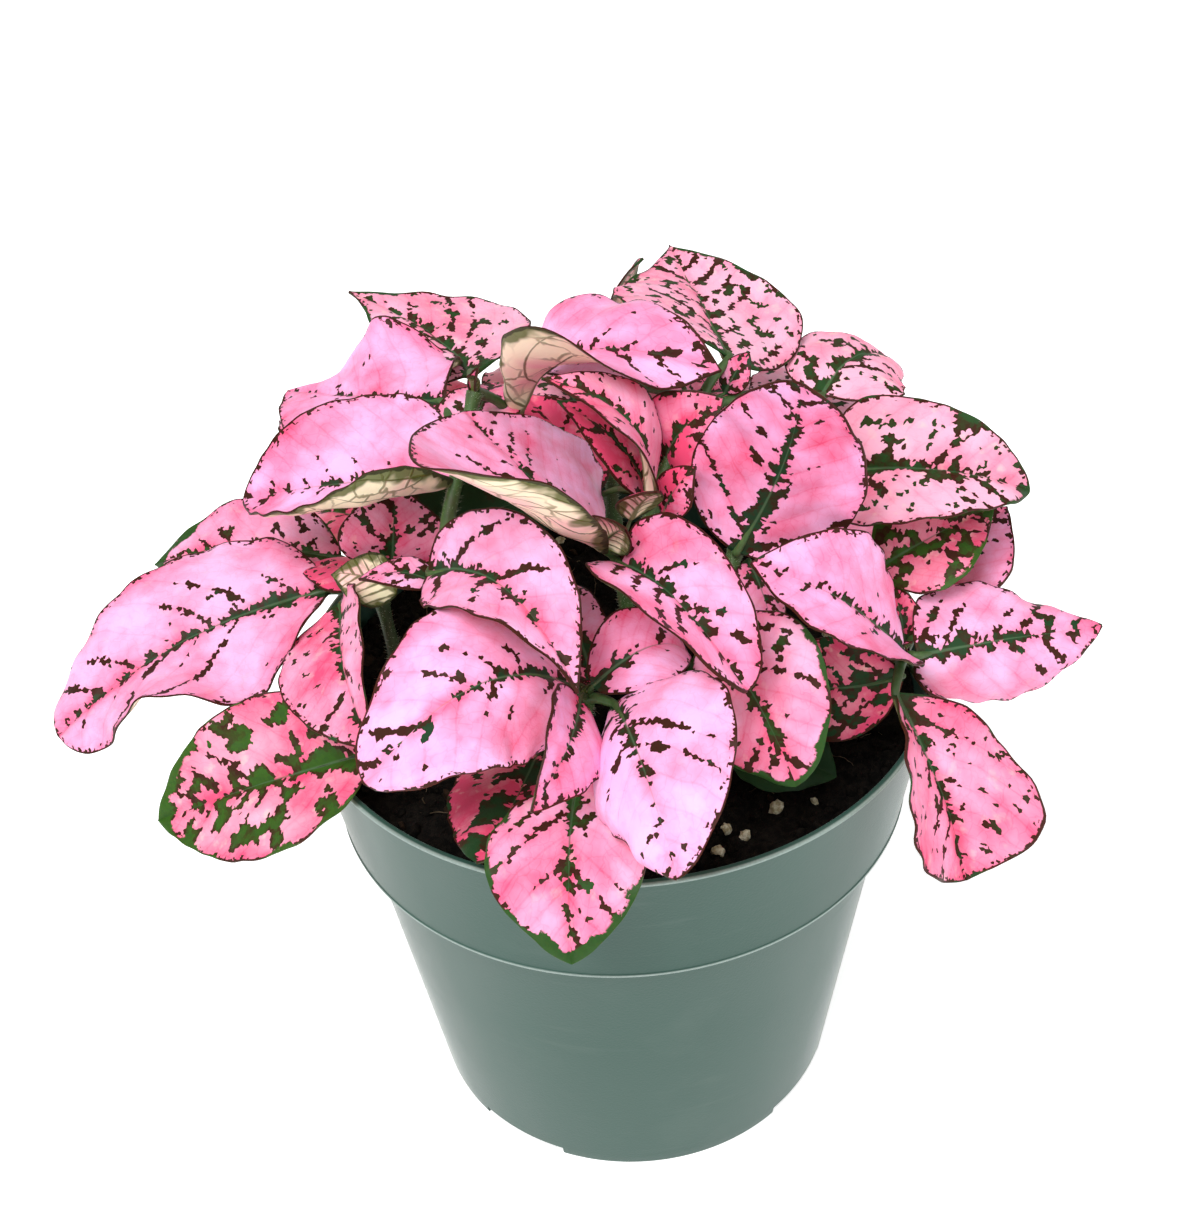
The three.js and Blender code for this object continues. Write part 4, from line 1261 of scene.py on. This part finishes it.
leafy_stem(
    "right",
    path=[(36, -10, 83), (41, -15, 92), (44, -18, 99)],
    leaves=[
        # rises to the left
        dict(node=2, base=(44, -20, 101), tip=(20, -22, 122), half=11.5, arch=4, roll=-30,
             twist=-55, widest=0.45, fullness=(0.65, 0.85), left_curl=(20, 20, 20),
             right_curl=(20, -15, -20), look="clear"),
        # pointed, to the right
        dict(node=2, base=(46, -20, 101), tip=(76, -14, 100), half=12, arch=-1.5, sway=-0.5,
             roll=40, twist=-40, widest=0.4, fullness=(0.7, 0.8), left_curl=(-15, -30, -30),
             right_curl=(-5, -75, -65), left_wave=(-0.2, 0), right_wave=(0.05, -90),
             look="lined"),
        # hangs down beside the rim
        dict(node=2, base=(42, -25, 98), tip=(52, -40, 72), half=14, arch=2.5, roll=5, twist=35,
             widest=0.55, fullness=(0.75, 0.85), left_curl=(35, -5, 10), right_curl=(25, 20, 30),
             left_wave=(0.3, 30), look="specked"),
        # upright, plain
        dict(node=2, base=(54, 0, 97), tip=(65, 8, 108), half=8.5, arch=3, roll=10,
             right_curl=(10, -10, -10), look="clear"),
        # upright, dark
        dict(node=2, base=(42, -3, 105), tip=(61, 1, 113), half=9, arch=2.5, roll=35,
             right_curl=(15, -5, -5), look="mottled"),
        # young
        dict(node=2, base=(45, -14, 99), tip=(44, -6, 104), half=3, arch=1.5,
             right_curl=(15, -10, -5), look="dusky"),
        # young, under the node
        dict(node=2, base=(46, -15, 95), tip=(52, -16, 88), half=3, arch=1, roll=10,
             left_curl=(5, -20, -20), right_curl=(10, -20, -20), look="young"),
        # in shade, edge-on
        dict(node=1, base=(44, -20, 97), tip=(24, -12, 94), half=8.5, arch=5.5, sway=-1, roll=-70,
             widest=0.45, left_curl=(15, -10, -5), right_curl=(10, -15, -10), look="russet"),
    ],
    seed=23,
)


# ---- Upper right stem ----------------------------------------------------------------------------
# The stem behind the right one, whose big leaf stands up and faces the viewer with a branched green
# rib. Its lowest leaf lies just over the soil.

leafy_stem(
    "upper_right",
    path=[(20, -2, 83), (17, -13, 107), (19, -9, 115)],
    leaves=[
        # big, upright, faces the front
        dict(node=2, base=(19, -11, 116), tip=(27, -19, 150), half=13, arch=2.5, sway=-2,
             roll=-60, twist=-5, widest=0.4, fullness=(0.6, 0.65), left_curl=(10, -20, -20),
             right_curl=(15, -25, 5), turned=True, look="branched"),
        # hangs to the front
        dict(node=1, base=(14, -20, 108), tip=(25, -41, 95), half=12, arch=4.5, sway=-1, roll=25,
             fullness=(0.7, 0.6), left_curl=(15, -5, -10), right_curl=(0, -40, -45),
             look="tipped"),
        # small, in shade
        dict(node=1, base=(21, -9, 113), tip=(24, -21, 107), half=5, arch=0.5, roll=-20, twist=30,
             widest=0.45, left_curl=(-5, -35, -25), right_curl=(0, -30, -30), look="lined"),
        # broad, spotted, to the right
        dict(node=2, base=(38, 5, 119), tip=(66, 0, 117), half=11.5, arch=6.5, sway=1.5, roll=30,
             twist=-20, widest=0.25, fullness=(0.65, 0.65), left_curl=(30, 5, 5),
             right_curl=(20, -5, -5), left_wave=(0.05, 60), look="spotted"),
        # low, just over the soil
        dict(node=0, base=(17, -21, 86), tip=(33, -28, 84), half=7.5, arch=1.5, roll=10, twist=10,
             fullness=(0.7, 0.8), left_curl=(20, 5, 10), right_curl=(5, -20, -15), look="shaded"),
    ],
    seed=28,
)


# ---- Top stem ------------------------------------------------------------------------------------
# The tallest stem, at the back of the middle. Its leaves are the most spotted, and several small
# ones stand in its tip.

leafy_stem(
    "top",
    path=[(7, 6, 83), (6, -3, 110), (7, -4, 122), (14, 6, 131)],
    leaves=[
        # stands to the left
        dict(node=2, base=(6, -8, 124), tip=(-9, -2, 143), half=8, arch=6.5, roll=5, twist=-30,
             fullness=(0.75, 1), left_curl=(20, 0, -5), right_curl=(15, -10, -15),
             look="specked"),
        # behind it
        dict(node=2, base=(6, -4, 122), tip=(-7, 3, 136), half=6.5, arch=3, roll=5, look="dusky"),
        # young
        dict(node=2, base=(8, -10, 123), tip=(13, -11, 132), half=4, arch=1, roll=35,
             left_curl=(10, -15, -10), right_curl=(0, -25, -30), look="young"),
        # upright, spotted
        dict(node=2, base=(9, 1, 124), tip=(18, -2, 138), half=7, arch=3, roll=45, twist=-5,
             widest=0.45, fullness=(0.8, 0.9), left_curl=(25, 10, 10), right_curl=(5, -25, -30),
             look="dusky"),
        # broad, at the very back
        dict(node=3, base=(20, 13, 136), tip=(13, 48, 138), half=16.5, arch=-0.5, sway=1, roll=20,
             twist=-40, fullness=(0.8, 1.2), left_curl=(10, -30, -25), right_curl=(0, 0, 30),
             right_wave=(0.05, -120), look="spotted"),
        # spotted, back right
        dict(node=3, base=(35, 15, 127), tip=(51, 32, 120), half=11, arch=5, sway=-1, roll=-5,
             twist=15, widest=0.35, fullness=(0.65, 0.9), left_curl=(25, -30, -40),
             right_curl=(-10, -25, -40), left_wave=(0.05, 45), look="spotted"),
        # young
        dict(node=3, base=(19, 9, 132), tip=(23, 11, 138), half=3, arch=0.5, roll=20,
             left_curl=(0, -25, -30), right_curl=(5, -25, -25), look="young"),
        # in the middle of the plant
        dict(node=2, base=(-3, 14, 110), tip=(-13, 27, 123), half=8, arch=3, curl=(15, -15, -15),
             look="dusky"),
        # a sliver, seen edge-on
        dict(node=3, base=(6, 42, 129), tip=(8, 38, 141), half=4.5, arch=2, roll=40,
             left_curl=(5, -20, -20), right_curl=(15, -10, -10), look="dusky"),
        # under the highest, back left
        dict(node=3, base=(6, 16, 130), tip=(-8, 44, 120), half=11, arch=4, curl=(10, -20, -20),
             look="lined"),
    ],
    seed=33,
)


# ---- Back stem -----------------------------------------------------------------------------------
# A stem at the back, hidden from the front by the others, which fills that side of the plant.

leafy_stem(
    "back",
    path=[(3, 22, 83), (1, 24, 98), (1, 25, 112)],
    leaves=[
        # upper, left
        dict(node=2, base=(-2, 32, 113), tip=(-16, 64, 106), half=13, arch=5, curl=(10, -25, -25),
             left_wave=(0.1, 60), right_wave=(0.1, 0), look="spotted"),
        # upper, right
        dict(node=2, base=(6, 30, 112), tip=(32, 56, 102), half=12, arch=5, roll=10,
             curl=(10, -25, -25), right_wave=(0.1, 90), look="specked"),
        # lower, left
        dict(node=1, base=(-3, 34, 99), tip=(-24, 64, 84), half=12, arch=4, curl=(10, -20, -20),
             look="mottled"),
        # lower, right
        dict(node=1, base=(1, 34, 98), tip=(30, 60, 86), half=11, arch=4, curl=(10, -20, -20),
             look="spotted"),
    ],
    seed=38,
)


# ---- Back left stem ------------------------------------------------------------------------------
# The stem behind the left ones, short and spreading towards the back.

leafy_stem(
    "back_left",
    path=[(-23, 22, 83), (-28, 23, 96), (-29, 23, 108)],
    leaves=[
        # upper, outer
        dict(node=2, base=(-34, 30, 109), tip=(-58, 56, 103), half=12, arch=5,
             curl=(10, -25, -25), left_wave=(0.1, 0), look="lined"),
        # upper, inner
        dict(node=2, base=(-28, 30, 110), tip=(-40, 62, 107), half=11, arch=4,
             curl=(10, -20, -20), right_wave=(0.1, 0), look="specked"),
        # lower
        dict(node=1, base=(-36, 28, 96), tip=(-66, 48, 84), half=12, arch=4, curl=(10, -20, -20),
             look="mottled"),
        # in the shade of the upper left ones
        dict(node=1, base=(-35, 13, 104), tip=(-8, 15, 111), half=10.5, arch=2, roll=35,
             look="shaded"),
    ],
    seed=43,
)


# ---- Back right stem -----------------------------------------------------------------------------
# The stem behind the right ones, spreading over the rim at the back.

leafy_stem(
    "back_right",
    path=[(27, 19, 83), (30, 20, 96), (31, 21, 108)],
    leaves=[
        # upper, outer
        dict(node=2, base=(37, 24, 109), tip=(66, 42, 101), half=12, arch=5, curl=(10, -25, -25),
             left_wave=(0.1, 0), look="specked"),
        # upper, inner
        dict(node=2, base=(32, 28, 110), tip=(46, 60, 103), half=12, arch=5, curl=(10, -20, -20),
             right_wave=(0.1, 45), look="spotted"),
        # lower, inner
        dict(node=1, base=(35, 27, 97), tip=(60, 58, 84), half=12, arch=4, curl=(10, -20, -20),
             look="mottled"),
        # lower, outer
        dict(node=1, base=(38, 20, 98), tip=(66, 25, 90), half=12, arch=4, curl=(10, -20, -20),
             look="tipped"),
    ],
    seed=48,
)


# ---- Floor and light -----------------------------------------------------------------------------
# A wide sheet of smooth white card under the pot, lit softly from all round, with a large soft lamp
# high in front at the left and a weaker one at the right. Behind it all hangs pale paper.

FLOOR_REACH = 6.0
LAMPS_AIM_AT = Vector((0, 0, 0.08))
SKY_GLOW = 0.38
PAPER_BRIGHTNESS = 0.86


def floor():
    glow = {"Emission Strength": 0.6, "Emission Color": (1, 1, 1, 1)}
    card = Finish("card", glow | {"Roughness": 0.8, "Specular IOR Level": 0.2})
    x, y, z = card.place()
    grain = card.clouds(card.vector(x, y, z), 1.2, 3)
    card.drive("Base Color", card.blend(grain, (0.93, 0.93, 0.93), (0.96, 0.96, 0.96)))
    form = bmesh.new()
    bmesh.ops.create_grid(form, x_segments=24, y_segments=24, size=FLOOR_REACH)
    mesh = bpy.data.meshes.new("floor")
    form.to_mesh(mesh)
    form.free()
    mesh.materials.append(card.material)
    sheet = put_in_scene("floor", mesh)
    sheet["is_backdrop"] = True


def lamp(name, place, size, power):
    light = bpy.data.lights.new(name, "AREA")
    light.size = size
    light.energy = power
    lamp = put_in_scene(name, light)
    lamp.location = place
    lamp.rotation_euler = (LAMPS_AIM_AT - place).to_track_quat("-Z", "Y").to_euler()


def surroundings():
    """An even glow that lights the plant, and brighter paper where the camera looks past it."""
    sky = bpy.data.worlds.new("sky")
    sky.use_nodes = True
    paper = sky.node_tree.nodes["Background"]
    paper.inputs["Color"].default_value = (1, 1, 1, 1)
    seen = sky.node_tree.nodes.new("ShaderNodeLightPath")
    glow = sky.node_tree.nodes.new("ShaderNodeMath")
    glow.operation = "MULTIPLY_ADD"
    glow.inputs[1].default_value = PAPER_BRIGHTNESS - SKY_GLOW
    glow.inputs[2].default_value = SKY_GLOW
    sky.node_tree.links.new(seen.outputs["Is Camera Ray"], glow.inputs[0])
    sky.node_tree.links.new(glow.outputs["Value"], paper.inputs["Strength"])
    bpy.context.scene.world = sky


floor()
surroundings()
lamp("key", Vector((-0.35, -0.5, 1.1)), 0.7, 15)
lamp("fill", Vector((0.9, -0.5, 0.7)), 0.9, 4.8)


# ---- Sizes ---------------------------------------------------------------------------------------

boxes = {"solids": solid_box, "plant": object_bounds()}
{name: [list(corner) for corner in box] for name, box in boxes.items()}
